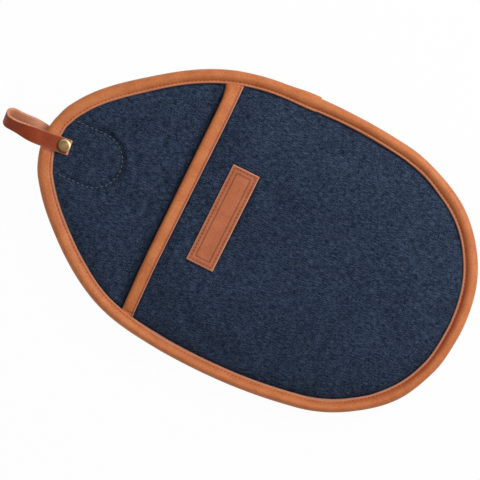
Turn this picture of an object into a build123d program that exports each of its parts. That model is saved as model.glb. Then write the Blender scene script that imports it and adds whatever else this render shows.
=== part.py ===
"""Padded denim oven mitt: an egg-shaped base, a hand pocket on its wide two thirds, leather-bound edges,
a sewn leather label and a leather hanging loop that swivels on a brass rivet.

Frame: X runs along the mitt from the narrow end to the wide end, Y across it, Z up from the surface it lies
on towards the pocket. The origin is the middle of the bounding box's bottom face. Millimetres and degrees.
"""

import os
from math import cos, radians, sin, tan

from build123d import *

os.makedirs("parts", exist_ok=True)

# Outline of the mitt: four tangent arcs on each side, which meet at these headings of the edge.
mitt_length = 310.0
mitt_width = 200.0
tip_radius = 47.0
tip_heading = 57.0
shoulder_heading = 4.0
flank_heading = -9.0

# Materials
denim = 0.8
lining = 0.6
leather = 1.2
cloth_gap = 0.2

# Base
base_rim = 5.0
bulge_start = 1.4
bulge_inset = 30.0

# Binding of the whole edge, with its lapped end
binding_width = 9.4
binding_roundness = 0.9
rim_clearance = 0.4
lap_from_tip = 159.0
lap_length = 18.0

# Pocket
mouth_from_tip = 97.4
mouth_tape = 10.0
mouth_slot = 0.5
tape_clearance = 0.3
hand_gap = 10.0
pocket_padding = 4.4
pocket_seam = 1.0
pocket_seam_spread = 3.6
pocket_shoulder_inset = 34.0
pocket_shoulder_share = 0.6
pocket_shoulder_padding = 0.8
pocket_crown_width = 68.0
pocket_chord_heading = 35.0

# Label
label_from_tip = 132.3
label_length = 70.0
label_width = 19.4
label_corner = 0.8
label_tilt = 2.2

# Stitched reinforcement round the rivet
backing_width = 37.4
backing_from_tip = 56.5
backing_thickness = 1.0

# Hanging loop and its rivet
rivet_from_tip = 15.8
rivet_diameter = 9.0
rivet_cap_edge = 0.7
rivet_cap_height = 2.1
rivet_flange = 0.9
rivet_lift = 0.3
post_diameter = 3.5
post_seat = 1.2
strap_width = 10.6
strap_thickness = 1.8
strap_tail = 4.4
strap_clearance = 0.3
loop_reach = 29.0
loop_straight = 15.0
loop_spread = 8.0
loop_twist_run = 21.0
loop_twist = 46.0
loop_fold_radius = 4.4
loop_lift = 0.8
loop_rest_angle = 3.4
swivel_recess = 13.0
running = 0.06
press = 0.02

# Positions along X
total_length = mitt_length + loop_reach
tip_x = loop_reach - total_length / 2
end_x = tip_x + mitt_length
mouth_x = tip_x + mouth_from_tip
step_x = mouth_x - leather - mouth_slot
rivet_x = tip_x + rivet_from_tip

# Heights, from the rivet's flange just above the ground to the strap and the pocket's crown
flange_low = rivet_lift
flange_high = flange_low + rivet_flange
back_strap_low = flange_high + running
back_strap_high = back_strap_low + strap_thickness
binding_low = back_strap_high + strap_clearance
rim_low = binding_low + leather
pocket_floor = rim_low + base_rim
rim_high = pocket_floor + lining + denim
binding_high = rim_high + leather
front_strap_low = binding_high + strap_clearance
front_strap_high = front_strap_low + strap_thickness
cap_low = front_strap_high + running
middle_z = (rim_low + pocket_floor) / 2
loop_middle_z = (back_strap_low + front_strap_high) / 2

# Rises of the pocket's surfaces above the hand's space, layer by layer
lining_under = 0.0
lining_over = lining_under + lining
padding_under = lining_over + cloth_gap
padding_over = padding_under + pocket_padding
denim_under = padding_over + cloth_gap
denim_over = denim_under + denim
crown_z = pocket_floor + hand_gap + denim_over
through = 4 * crown_z

# Radii of the outline's arcs, solved so that the arcs meet at the length and width above
tip_sin, tip_cos = sin(radians(tip_heading)), cos(radians(tip_heading))
shoulder_sin, shoulder_cos = sin(radians(shoulder_heading)), cos(radians(shoulder_heading))
flank_sin, flank_cos = sin(radians(flank_heading)), cos(radians(flank_heading))
half_width = mitt_width / 2
shoulder_base = (half_width - tip_radius * tip_cos) / (shoulder_cos - tip_cos)
shoulder_share = (1 - shoulder_cos) / (shoulder_cos - tip_cos)
end_base = half_width / flank_cos
end_share = (1 - flank_cos) / flank_cos
length_left = (
    mitt_length
    - tip_radius * (1 - tip_sin)
    - shoulder_base * (tip_sin - shoulder_sin)
    - end_base * (1 + flank_sin)
)
length_rate = (
    (shoulder_sin - flank_sin)
    - shoulder_share * (tip_sin - shoulder_sin)
    - end_share * (1 + flank_sin)
)
flank_radius = length_left / length_rate
shoulder_radius = shoulder_base - shoulder_share * flank_radius
end_radius = end_base - end_share * flank_radius

end_turn = 90 + flank_heading
flank_turn = shoulder_heading - flank_heading
shoulder_turn = tip_heading - shoulder_heading
tip_turn = 90 - tip_heading
pocket_turn = pocket_chord_heading - shoulder_heading

# Corners that blocks are placed by
low_x = (Align.MIN, Align.CENTER, Align.CENTER)
low_z = (Align.CENTER, Align.CENTER, Align.MIN)
low_x_low_z = (Align.MIN, Align.CENTER, Align.MIN)
high_x_low_y = (Align.MAX, Align.MIN, Align.CENTER)

# Insets and roundings of the bound edge
rim_inset = leather + rim_clearance + binding_roundness * (rim_high - rim_low) / 2
binding_fillet = binding_roundness * (binding_high - binding_low) / 2
channel_fillet = binding_roundness * (rim_high - rim_low) / 2
lap_fillet = binding_fillet + leather


def outline(inset):
    """Return the face inside the mitt's whole outline, moved in by inset."""
    with BuildSketch() as shape:
        with BuildLine():
            end = JernArc((end_x - inset, 0), (0, 1), end_radius - inset, end_turn)
            flank = JernArc(end @ 1, end % 1, flank_radius - inset, flank_turn)
            shoulder = JernArc(flank @ 1, flank % 1, shoulder_radius - inset, shoulder_turn)
            JernArc(shoulder @ 1, shoulder % 1, tip_radius - inset, tip_turn)
            mirror(about=Plane.XZ)
        make_face()
    return shape.sketch


def wide_outline(inset):
    """Return the outline's wide part, closed by a chord short of the pocket's mouth, moved in by inset."""
    with BuildSketch() as shape:
        with BuildLine():
            end = JernArc((end_x - inset, 0), (0, 1), end_radius - inset, end_turn)
            flank = JernArc(end @ 1, end % 1, flank_radius - inset, flank_turn)
            shoulder = JernArc(flank @ 1, flank % 1, shoulder_radius - inset, pocket_turn)
            Line(shoulder @ 1, ((shoulder @ 1).X, 0))
            mirror(about=Plane.XZ)
        make_face()
    return shape.sketch


def base_body(skin):
    """Return the base with a skin of this thickness taken off its upper and lower faces."""
    with BuildPart() as body:
        with BuildSketch(Plane.XY.offset(rim_low + skin)):
            add(outline(rim_inset))
        extrude(amount=rim_high - rim_low - 2 * skin)
        with Locations((step_x - skin, 0, pocket_floor - skin)):
            Box(mitt_length, mitt_width, base_rim, align=low_x_low_z, mode=Mode.SUBTRACT)
        with BuildSketch(Plane.XY.offset(rim_low + skin)):
            add(outline(binding_width + bulge_start))
        with BuildSketch(Plane.XY.offset(skin)):
            add(outline(bulge_inset))
        loft()
        with Locations((rivet_x, 0, 0)):
            Cylinder(swivel_recess + skin, binding_low + skin, align=low_z, mode=Mode.SUBTRACT)
            Cylinder(post_diameter / 2 + press, through, mode=Mode.SUBTRACT)
    return body.part


def under_pocket(rise, brim):
    """Return the solid under a pocket surface that lies this far above the hand's space.

    The brim is the height of the flat rim at the edge, which the binding grips.
    """
    share = rise / denim_over
    foot_inset = binding_width + pocket_seam + pocket_seam_spread * (1 - share)
    shoulder_z = pocket_floor + pocket_shoulder_share * hand_gap + pocket_shoulder_padding * rise
    crown_inset = (mitt_width - pocket_crown_width) / 2
    with BuildPart() as solid:
        if brim > 0:
            with BuildSketch(Plane.XY.offset(pocket_floor)):
                add(wide_outline(rim_inset))
            extrude(amount=brim)
        with BuildSketch(Plane.XY.offset(pocket_floor + brim)):
            add(wide_outline(foot_inset))
        with BuildSketch(Plane.XY.offset(shoulder_z)):
            add(wide_outline(pocket_shoulder_inset))
        with BuildSketch(Plane.XY.offset(pocket_floor + hand_gap + rise)):
            add(wide_outline(crown_inset))
        loft()
    return solid.part


def edge_solid(outset, fillet_radius):
    """Return the whole mitt's edge as a solid slab with a rounded rim, grown by outset."""
    with BuildPart() as slab:
        with BuildSketch(Plane.XY.offset(binding_low - outset)):
            add(outline(-outset))
        extrude(amount=binding_high - binding_low + 2 * outset)
        rims = slab.edges().group_by(Axis.Z)
        fillet(rims[0] + rims[-1], radius=fillet_radius)
    return slab.part


# Shared solids
mouth_plane = Plane(origin=(mouth_x + press, 0, 0), x_dir=(0, 1, 0), z_dir=(1, 0, 0))
base_whole = base_body(0)
base_core = base_body(denim)
base_fill = base_body(denim + cloth_gap)
under_lining = under_pocket(lining_under, 0)
over_lining = under_pocket(lining_over, lining)
under_padding = under_pocket(padding_under, lining)
over_padding = under_pocket(padding_over, lining)
under_denim = under_pocket(denim_under, lining)
over_denim = under_pocket(denim_over, lining + denim)
edge_slab = edge_solid(0, binding_fillet)
lap_slab = edge_solid(leather, lap_fillet)
channel = edge_solid(-leather, channel_fillet)

with BuildPart() as base_back_denim:
    add(base_whole)
    add(base_core, mode=Mode.SUBTRACT)
    split(bisect_by=Plane.XY.offset(middle_z), keep=Keep.BOTTOM)
base_back_denim.part.label = "base_back_denim"
export_step(base_back_denim.part, "parts/base_back_denim.step")

with BuildPart() as base_inner_denim:
    add(base_whole)
    add(base_core, mode=Mode.SUBTRACT)
    split(bisect_by=Plane.XY.offset(middle_z), keep=Keep.TOP)
base_inner_denim.part.label = "base_inner_denim"
export_step(base_inner_denim.part, "parts/base_inner_denim.step")

with BuildPart() as rivet_backing:
    with BuildSketch(Plane.XY.offset(rim_high - denim - backing_thickness)):
        add(outline(rim_inset))
    extrude(amount=backing_thickness)
    with BuildSketch(Plane.XY.offset(rim_high - denim - backing_thickness)):
        with Locations((tip_x + backing_from_tip, 0)):
            SlotOverall(2 * backing_from_tip, backing_width, align=(Align.MAX, Align.CENTER))
    extrude(amount=backing_thickness, mode=Mode.INTERSECT)
    with Locations((rivet_x, 0, rim_high)):
        Cylinder(post_diameter / 2 + press, through, mode=Mode.SUBTRACT)
rivet_backing.part.label = "rivet_backing"
export_step(rivet_backing.part, "parts/rivet_backing.step")

with BuildPart() as base_wadding:
    add(base_fill)
    with BuildSketch(Plane.XY.offset(rim_high - denim - backing_thickness - cloth_gap)):
        with Locations((tip_x + backing_from_tip + cloth_gap, 0)):
            SlotOverall(
                2 * backing_from_tip + cloth_gap,
                backing_width + 2 * cloth_gap,
                align=(Align.MAX, Align.CENTER),
            )
    extrude(amount=backing_thickness + cloth_gap, mode=Mode.SUBTRACT)
base_wadding.part.label = "base_wadding"
export_step(base_wadding.part, "parts/base_wadding.step")

with BuildPart() as pocket_lining:
    add(over_lining)
    add(under_lining, mode=Mode.SUBTRACT)
    split(bisect_by=mouth_plane, keep=Keep.TOP)
pocket_lining.part.label = "pocket_lining"
export_step(pocket_lining.part, "parts/pocket_lining.step")

with BuildPart() as pocket_wadding:
    add(over_padding)
    add(under_padding, mode=Mode.SUBTRACT)
    split(bisect_by=mouth_plane, keep=Keep.TOP)
pocket_wadding.part.label = "pocket_wadding"
export_step(pocket_wadding.part, "parts/pocket_wadding.step")

with BuildPart() as pocket_denim:
    add(over_denim)
    add(under_denim, mode=Mode.SUBTRACT)
    split(bisect_by=mouth_plane, keep=Keep.TOP)
pocket_denim.part.label = "pocket_denim"
export_step(pocket_denim.part, "parts/pocket_denim.step")

with BuildPart() as edge_binding:
    add(lap_slab)
    with Locations((tip_x + lap_from_tip, 0, 0)):
        Box(lap_length, mitt_width, through, align=high_x_low_y, mode=Mode.INTERSECT)
    add(edge_slab)
    with BuildSketch(Plane.XY):
        add(outline(binding_width))
    extrude(amount=through, both=True, mode=Mode.SUBTRACT)
    add(channel, mode=Mode.SUBTRACT)
edge_binding.part.label = "edge_binding"
export_step(edge_binding.part, "parts/edge_binding.step")

tape_outside = under_pocket(denim_over + cloth_gap + leather, lining + denim + cloth_gap + leather)
tape_inside = under_pocket(lining_under - cloth_gap - leather, 0)
panel_outside = under_pocket(denim_over + cloth_gap, lining + denim + cloth_gap)
panel_inside = under_pocket(lining_under - cloth_gap, 0)

with BuildPart() as panel_room:
    add(panel_outside)
    add(panel_inside, mode=Mode.SUBTRACT)
    with Locations((mouth_x, 0, 0)):
        Box(mitt_length, mitt_width, through, align=low_x, mode=Mode.INTERSECT)

with BuildPart() as mouth_binding:
    add(tape_outside)
    add(tape_inside, mode=Mode.SUBTRACT)
    with Locations((mouth_x - leather, 0, 0)):
        Box(mouth_tape, mitt_width, through, align=low_x, mode=Mode.INTERSECT)
    add(panel_room.part, mode=Mode.SUBTRACT)
    with BuildSketch(Plane.XY.offset(pocket_floor + cloth_gap)):
        add(wide_outline(binding_width + tape_clearance))
    extrude(amount=through, mode=Mode.INTERSECT)
mouth_binding.part.label = "mouth_binding"
export_step(mouth_binding.part, "parts/mouth_binding.step")

with BuildPart() as label_patch:
    with BuildSketch(Plane.XY.offset(crown_z)):
        with Locations(Location((tip_x + label_from_tip, 0, 0), (0, 0, -label_tilt))):
            RectangleRounded(label_width, label_length, label_corner)
    extrude(amount=leather)
label_patch.part.label = "label_patch"
export_step(label_patch.part, "parts/label_patch.step")

# The strap's own frame: origin on the rivet's axis, X outwards from the mitt's narrow end
rest = radians(180 - loop_rest_angle)
strap_frame = Plane(origin=(rivet_x, 0, loop_middle_z), x_dir=(cos(rest), sin(rest), 0), z_dir=(0, 0, 1))
leg_rise = (front_strap_high + front_strap_low) / 2 - loop_middle_z
fold_reach = rivet_from_tip + loop_reach - strap_thickness / 2 - loop_fold_radius
leg_run = fold_reach - loop_straight
leg_slope = tan(radians(loop_spread))
fold_sin, fold_cos = sin(radians(loop_twist)), cos(radians(loop_twist))


def strap_section(point, ahead, twist):
    """Return the strap's cross-section plane at a point, square to the way ahead and twisted about the loop."""
    across = Vector(0, cos(radians(twist)), -sin(radians(twist)))
    ahead = Vector(*ahead).normalized()
    side = (across - ahead * across.dot(ahead)).normalized()
    return strap_frame * Plane(origin=point, x_dir=side, z_dir=ahead).location


def leg_section(part_way, leg):
    """Return a section of the front leg (1) or the back leg (-1), part way from its straight end to the fold.

    The legs spread sideways from the rivet, draw in to the fold's width, rise a little and twist on their way.
    """
    t = part_way
    eased = t * t * (3 - 2 * t)
    ease_rate = 6 * t * (1 - t)
    sideways = (
        loop_straight * leg_slope * (1 - eased)
        + leg_run * leg_slope * t * (1 - t) * (1 - t)
        + loop_fold_radius * fold_sin * eased
    )
    side_rate = (
        (loop_fold_radius * fold_sin - loop_straight * leg_slope) * ease_rate / leg_run
        + leg_slope * (1 - t) * (1 - 3 * t)
    )
    upwards = leg_rise + (loop_fold_radius * fold_cos - leg_rise) * eased
    up_rate = (loop_fold_radius * fold_cos - leg_rise) * ease_rate / leg_run
    turned = min(leg_run * t / loop_twist_run, 1)
    return strap_section(
        (loop_straight + leg_run * t, leg * sideways, leg * upwards + loop_lift * eased),
        (leg, side_rate, up_rate + leg * loop_lift * ease_rate / leg_run),
        loop_twist * turned * turned * (3 - 2 * turned),
    )


def fold_section(turned):
    """Return a section of the fold, a half circle, this many degrees round it from the front leg."""
    outwards, back = sin(radians(turned)), cos(radians(turned))
    return strap_section(
        (
            fold_reach + loop_fold_radius * outwards,
            loop_fold_radius * fold_sin * back,
            loop_fold_radius * fold_cos * back + loop_lift,
        ),
        (back, -fold_sin * outwards, -fold_cos * outwards),
        loop_twist,
    )


leg_parts = (0.0, 0.15, 0.3, 0.45, 0.6, 0.8, 1.0)
fold_turns = (0, 30, 60, 90, 120, 150, 180)
with BuildPart() as hang_loop:
    for leg in (1, -1):
        with BuildSketch(strap_frame.offset(leg * leg_rise - strap_thickness / 2)):
            with Locations(Location((0, 0, 0), (0, 0, leg * loop_spread))):
                with Locations((-strap_tail, 0)):
                    Rectangle(
                        strap_tail + loop_straight / cos(radians(loop_spread)),
                        strap_width,
                        align=(Align.MIN, Align.CENTER),
                    )
        extrude(amount=strap_thickness)
        for part_way in leg_parts:
            with BuildSketch(leg_section(part_way, leg)):
                Rectangle(strap_width, strap_thickness)
        loft()
    for turned in fold_turns:
        with BuildSketch(fold_section(turned)):
            Rectangle(strap_width, strap_thickness)
    loft()
    with Locations((rivet_x, 0, 0)):
        Cylinder(post_diameter / 2 + running, through, mode=Mode.SUBTRACT)
hang_loop.part.label = "hang_loop"
export_step(hang_loop.part, "parts/hang_loop.step")

rivet_plane = Plane(origin=(rivet_x, 0, 0), x_dir=(1, 0, 0), z_dir=(0, -1, 0))
rivet_axis = Axis((rivet_x, 0, 0), (0, 0, 1))
post_top = cap_low + post_seat

with BuildPart() as rivet_stud:
    with BuildSketch(rivet_plane):
        with BuildLine():
            Polyline(
                (0, flange_low),
                (rivet_diameter / 2, flange_low),
                (rivet_diameter / 2, flange_high),
                (post_diameter / 2, flange_high),
                (post_diameter / 2, post_top),
                (0, post_top),
                close=True,
            )
        make_face()
    revolve(axis=rivet_axis)
    rim = rivet_stud.edges().filter_by(GeomType.CIRCLE).group_by(Axis.Z)[0]
    fillet(rim, radius=rivet_flange / 2)
rivet_stud.part.label = "rivet_stud"
export_step(rivet_stud.part, "parts/rivet_stud.step")

with BuildPart() as rivet_cap:
    with BuildSketch(rivet_plane):
        with BuildLine():
            seat = Polyline(
                (0, post_top + press),
                (post_diameter / 2 + press, post_top + press),
                (post_diameter / 2 + press, cap_low),
                (rivet_diameter / 2, cap_low),
                (rivet_diameter / 2, cap_low + rivet_cap_edge),
            )
            dome = TangentArc(
                (0, cap_low + rivet_cap_height),
                (rivet_diameter / 2, cap_low + rivet_cap_edge),
                tangent=(1, 0),
            )
            Line(dome @ 0, seat @ 0)
        make_face()
    revolve(axis=rivet_axis)
rivet_cap.part.label = "rivet_cap"
export_step(rivet_cap.part, "parts/rivet_cap.step")
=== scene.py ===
"""A padded denim oven mitt with leather trim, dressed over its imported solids.

Lengths are metres in the solids' own frame: X runs from the hanging loop to the wide end, the mitt lies on
Z = 0 and its hand pocket is on top. The photograph looks straight down on it.
"""

import logging
import math
from collections.abc import Callable, Sequence
from dataclasses import dataclass, field
from enum import Enum
from functools import partial

import bpy
import numpy as np
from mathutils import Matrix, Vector


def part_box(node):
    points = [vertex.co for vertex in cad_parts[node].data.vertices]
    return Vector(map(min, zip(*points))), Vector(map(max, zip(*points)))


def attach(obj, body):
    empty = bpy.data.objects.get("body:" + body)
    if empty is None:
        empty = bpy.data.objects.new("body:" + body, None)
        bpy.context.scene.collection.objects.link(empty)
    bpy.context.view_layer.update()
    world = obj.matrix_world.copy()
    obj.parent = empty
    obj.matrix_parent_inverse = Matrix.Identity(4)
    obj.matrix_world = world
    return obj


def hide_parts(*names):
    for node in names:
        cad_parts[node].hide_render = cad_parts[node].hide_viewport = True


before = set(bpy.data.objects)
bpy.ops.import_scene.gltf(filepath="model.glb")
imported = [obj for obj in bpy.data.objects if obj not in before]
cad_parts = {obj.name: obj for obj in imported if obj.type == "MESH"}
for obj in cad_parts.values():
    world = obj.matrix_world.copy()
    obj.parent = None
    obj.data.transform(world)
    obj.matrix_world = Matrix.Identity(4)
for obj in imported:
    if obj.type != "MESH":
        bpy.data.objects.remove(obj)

LOG = logging.getLogger("oven_mitt")
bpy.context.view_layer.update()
MM = 0.001
DENIM = 0.8 * MM
LINING = 0.6 * MM
LEATHER = 1.2 * MM
TURN = 2 * math.pi
# A stretched sheet's cut area, as a share of its finished area
SEAM_SPARE = 1.05

Array = np.ndarray
Piece = bpy.types.Object
Material = bpy.types.Material
Colour = tuple[float, float, float, float]
Place = tuple[float, float]
Point = tuple[float, float, float]
Table = tuple[Place, ...]
Heights = Callable[[Array, Array], Array]


class Body(Enum):
    """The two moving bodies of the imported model."""

    MITT = "mitt"
    LOOP = "loop"


class Slot(Enum):
    """The record's material slots that dressed pieces take."""

    DENIM = "denim"
    LINING = "lining"
    WADDING = "wadding"
    BACKING = "backing"
    BINDING = "binding_leather"
    LABEL = "label_leather"
    STRAP = "strap_leather"


def screen(red: float, green: float, blue: float) -> Colour:
    """Turn a colour as a screen shows it into the linear one that shaders take.

    Args:
        red: Red, from 0 to 255.
        green: Green, from 0 to 255.
        blue: Blue, from 0 to 255.

    Returns:
        The linear colour with full alpha.
    """
    shares = [level / 255 for level in (red, green, blue)]
    bright = [s / 12.92 if s <= 0.04045 else ((s + 0.055) / 1.055) ** 2.4 for s in shares]
    return (bright[0], bright[1], bright[2], 1.0)


def ease(value: Array, low: float, high: float) -> Array:
    """Rise smoothly from 0 at low to 1 at high.

    Args:
        value: The values to ease.
        low: Where the rise starts.
        high: Where it ends, which may be below low for a fall.

    Returns:
        The eased shares, from 0 to 1.
    """
    share = np.clip((value - low) / (high - low), 0, 1)
    return share * share * (3 - 2 * share)


def bell(value: Array, width: float) -> Array:
    """Fall smoothly from 1 at 0, on both sides, to about a third at the width and to 0 well beyond it."""
    return np.exp(-((value / width) ** 2))


def round_table(angle: Array, table: Table) -> Array:
    """Ease round the mitt's edge between values at places of a table.

    Args:
        angle: Which way the edge faces, in radians.
        table: Pairs of such an angle in degrees, rising within one turn, and the value there in mm.

    Returns:
        The values in metres.
    """
    places = np.radians([place for place, _ in table])
    values = np.array([value for _, value in table]) * MM
    places = np.append(places, places[0] + TURN)
    values = np.append(values, values[0])
    turned = np.mod(angle - places[0], TURN) + places[0]
    step = np.clip(np.searchsorted(places, turned, side="right") - 1, 0, len(table) - 1)
    return values[step] + (values[step + 1] - values[step]) * ease(turned, places[step], places[step + 1])


def ripple(x: Array, y: Array, length: float, seed: int) -> Array:
    """Add up a few plane waves that run in random directions.

    Args:
        x: Places along X.
        y: Places along Y.
        length: The waves' mean length.
        seed: Fixes the directions and phases.

    Returns:
        A smooth uneven height, about from -1 to 1.
    """
    chance = np.random.default_rng(seed)
    total = np.zeros(np.broadcast(x, y).shape)
    for _ in range(8):
        heading, phase = chance.uniform(0, TURN, 2)
        number = TURN / (length * chance.uniform(0.7, 1.5))
        total += np.cos(number * (x * math.cos(heading) + y * math.sin(heading)) + phase)
    return total / 4


def sums(operation: str, flipped: bool = False) -> Callable[["Wire", "Wire | float"], "Wire"]:
    """Make an operator for wires that adds one Math node.

    Args:
        operation: The node's operation.
        flipped: Whether the other value comes first.

    Returns:
        The operator.
    """

    def apply(self: "Wire", other: "Wire | float") -> "Wire":
        """Add the node."""
        return self.bench.math(operation, *((other, self) if flipped else (self, other)))

    return apply


class Wire:
    """A shader node's output that can be used in sums like a number."""

    __add__, __radd__ = sums("ADD"), sums("ADD", True)
    __sub__, __rsub__ = sums("SUBTRACT"), sums("SUBTRACT", True)
    __mul__, __rmul__ = sums("MULTIPLY"), sums("MULTIPLY", True)
    __mod__ = sums("FLOORED_MODULO")
    __lt__ = sums("LESS_THAN")

    def __init__(self, bench: "Bench", socket: bpy.types.NodeSocket) -> None:
        """Keep the socket and the bench whose tree it is in."""
        self.bench = bench
        self.socket = socket

    def beside(self, output: str) -> "Wire":
        """Give another output of the same node."""
        return Wire(self.bench, self.socket.node.outputs[output])

    def floor(self) -> "Wire":
        """Round down."""
        return self.bench.math("FLOOR", self)

    def rounded(self) -> "Wire":
        """Give a thread's round top over each whole step: 0 at both ends and 1 in the middle."""
        middle = self.bench.math("FRACT", self) * 2.0 - 1.0
        return 1.0 - middle * middle

    def between(self, low: float, high: float) -> "Wire":
        """Rise smoothly from 0 at low to 1 at high."""
        inputs = {"Value": self, "From Min": low, "From Max": high}
        return self.bench.node("ShaderNodeMapRange", {"interpolation_type": "SMOOTHSTEP"}, inputs)


class Bench:
    """Adds nodes to one node tree."""

    def __init__(self, tree: bpy.types.NodeTree) -> None:
        """Empty the tree and keep it."""
        self.tree = tree
        tree.nodes.clear()

    def node(
        self,
        kind: str,
        settings: dict[str, object] | None = None,
        inputs: dict[str | int, object] | None = None,
        output: str | int = 0,
    ) -> Wire:
        """Add a node, set it up and feed it.

        Args:
            kind: The node's type.
            settings: Its own settings, by name.
            inputs: A value or a wire for each named or numbered socket.
            output: The output that is wanted.

        Returns:
            That output.
        """
        made = self.tree.nodes.new(kind)
        for name, value in (settings or {}).items():
            setattr(made, name, value)
        for name, value in (inputs or {}).items():
            if isinstance(value, Wire):
                self.tree.links.new(value.socket, made.inputs[name])
            else:
                made.inputs[name].default_value = value
        return Wire(self, made.outputs[output]) if made.outputs else Wire(self, None)

    def math(self, operation: str, *values: Wire | float) -> Wire:
        """Add one Math node."""
        return self.node("ShaderNodeMath", {"operation": operation}, dict(enumerate(values)))

    def place(self, turn: float = 0.0, stretch: Sequence[float] = (1.0, 1.0, 1.0)) -> Wire:
        """Give the point on the piece, turned about Z and then stretched.

        Args:
            turn: The angle, in radians.
            stretch: The factors along X, Y and Z.

        Returns:
            The point.
        """
        point = self.node("ShaderNodeTexCoord", None, None, "Object")
        turned = self.node("ShaderNodeMapping", None, {"Vector": point, "Rotation": (0.0, 0.0, turn)})
        return self.node("ShaderNodeMapping", None, {"Vector": turned, "Scale": tuple(stretch)})

    def noise(self, place: Wire, scale: float, detail: float = 2.0) -> Wire:
        """Give soft random cloud, about from 0.25 to 0.75."""
        return self.node("ShaderNodeTexNoise", None, {"Vector": place, "Scale": scale, "Detail": detail})

    def attribute(self, name: str) -> Wire:
        """Read a number that the piece's points carry, 0 where it has none."""
        return self.node("ShaderNodeAttribute", {"attribute_name": name}, None, "Fac")

    def mix(self, share: Wire | float, first: Wire | Colour, second: Wire | Colour) -> Wire:
        """Blend two colours."""
        return self.node("ShaderNodeMix", {"data_type": "RGBA"}, {0: share, 6: first, 7: second}, 2)

    def relief(self, height: Wire, depth: float, strength: float = 1.0) -> Wire:
        """Turn a height into a bumped normal."""
        return self.node("ShaderNodeBump", None, {"Height": height, "Distance": depth, "Strength": strength})

    def weave(self, warp: Wire, weft: Wire, repeat: float) -> tuple[Wire, Wire]:
        """Cross two sets of threads, each given by its place counted in threads.

        Args:
            warp: The place across the warp.
            weft: The place across the weft.
            repeat: After how many threads the weft comes up again.

        Returns:
            1 where the weft lies on top, and the height of the round threads.
        """
        weft_up = (warp.floor() + weft.floor()) % repeat < 0.5
        return weft_up, weft_up * weft.rounded() + (1.0 - weft_up) * warp.rounded()

    def seen(self) -> Wire:
        """Give 1 where the camera looks, also by a mirror or glass, and 0 for light on other things.

        Returns:
            The share.
        """
        path = self.node("ShaderNodeLightPath", None, None, "Is Camera Ray")
        rays = path + path.beside("Is Glossy Ray") + path.beside("Is Transmission Ray")
        return self.math("MINIMUM", rays, 1.0)

    def surface(self, **inputs: object) -> None:
        """End the tree in one Principled shader, fed by socket names with underscores for spaces."""
        named = {name.replace("_", " "): value for name, value in inputs.items()}
        shader = self.node("ShaderNodeBsdfPrincipled", None, named)
        self.node("ShaderNodeOutputMaterial", None, {"Surface": shader})


def new_material(name: str) -> tuple[Material, Bench]:
    """Start a material with an empty node tree.

    Args:
        name: The material's name.

    Returns:
        The material and the bench that fills it.
    """
    material = bpy.data.materials.new(name)
    material.use_nodes = True
    return material, Bench(material.node_tree)


@dataclass(frozen=True)
class Finish:
    """Anything that a piece can be made of, named for its material."""

    name: str

    def material(self) -> Material:
        """Build the material.

        Returns:
            The material, with its node tree filled.
        """
        material, bench = new_material(self.name)
        self.paint(bench)
        return material

    def paint(self, bench: Bench) -> None:
        """Fill the material's node tree."""
        raise NotImplementedError


@dataclass(frozen=True)
class DenimFinish(Finish):
    """Dark twill denim: slubby indigo yarns with pale flecks, with painted shade in the gaps between yarns
    and in the creases at its seams.
    """

    name: str = "navy_denim"
    deep: Colour = screen(20, 30, 49)
    indigo: Colour = screen(78, 98, 128)
    fleck: Colour = screen(126, 140, 160)
    # Colour of the painted shade in the creases by the seams
    crease_shade: Colour = screen(12, 15, 24)
    thread: float = 0.34 * MM
    slub: float = 4.5 * MM
    turn: float = math.radians(-4.4)
    fibre_scale: float = 2600.0
    wash_scale: float = 60.0
    depth: float = 0.2 * MM

    def paint(self, bench: Bench) -> None:
        """Weave the yarns, fleck them, and paint shade into the gaps between yarns and into the creases.

        Args:
            bench: The material's bench.
        """
        spot = bench.place(self.turn)
        along = bench.node("ShaderNodeSeparateXYZ", None, {"Vector": spot}, "X")
        across = along.beside("Y")
        warp, weft = across * (1 / self.thread), along * (1 / self.thread)
        weft_up, weave = bench.weave(warp, weft, 4.0)
        fibre = bench.noise(spot, self.fibre_scale, 2.0)
        wash = bench.noise(spot, self.wash_scale, 3.0)
        tone = self.yarn(bench, along, warp, 0.0) * 0.75 + fibre * 0.2 + wash * 0.1 - 0.025
        cloth = bench.mix(tone.between(0.42, 0.74), self.deep, self.indigo)
        pale = weft_up * self.yarn(bench, across, weft, 9.0).between(0.42, 0.66)
        cloth = bench.mix(pale * 0.7, cloth, self.fleck)
        # Painted shade in the gaps between the round yarns
        cloth = bench.mix((1.0 - weave) * 0.3, cloth, self.deep)
        # Painted shade where the cloth runs under the binding, under the mouth tape, round the label and
        # along the U-shaped line
        cloth = bench.mix(bench.attribute("painted_shade") * 0.9, cloth, self.crease_shade)
        bench.surface(
            Base_Color=cloth,
            Roughness=0.9,
            Specular_IOR_Level=0.08,
            Normal=bench.relief(weave + fibre * 0.5, self.depth, 0.7),
        )

    def yarn(self, bench: Bench, run: Wire, step: Wire, start: float) -> Wire:
        """Give every yarn its own thick, pale stretches and thin, dark ones.

        Args:
            bench: The material's bench.
            run: The place along the yarns.
            step: The place across them, counted in yarns.
            start: Sets one way of the weave apart from the other.

        Returns:
            The yarn's tone, about from 0.25 to 0.75.
        """
        inputs = {"X": run * (1 / self.slub), "Y": step.floor() * 0.7, "Z": start}
        return bench.noise(bench.node("ShaderNodeCombineXYZ", None, inputs), 1.0, 3.0)


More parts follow.
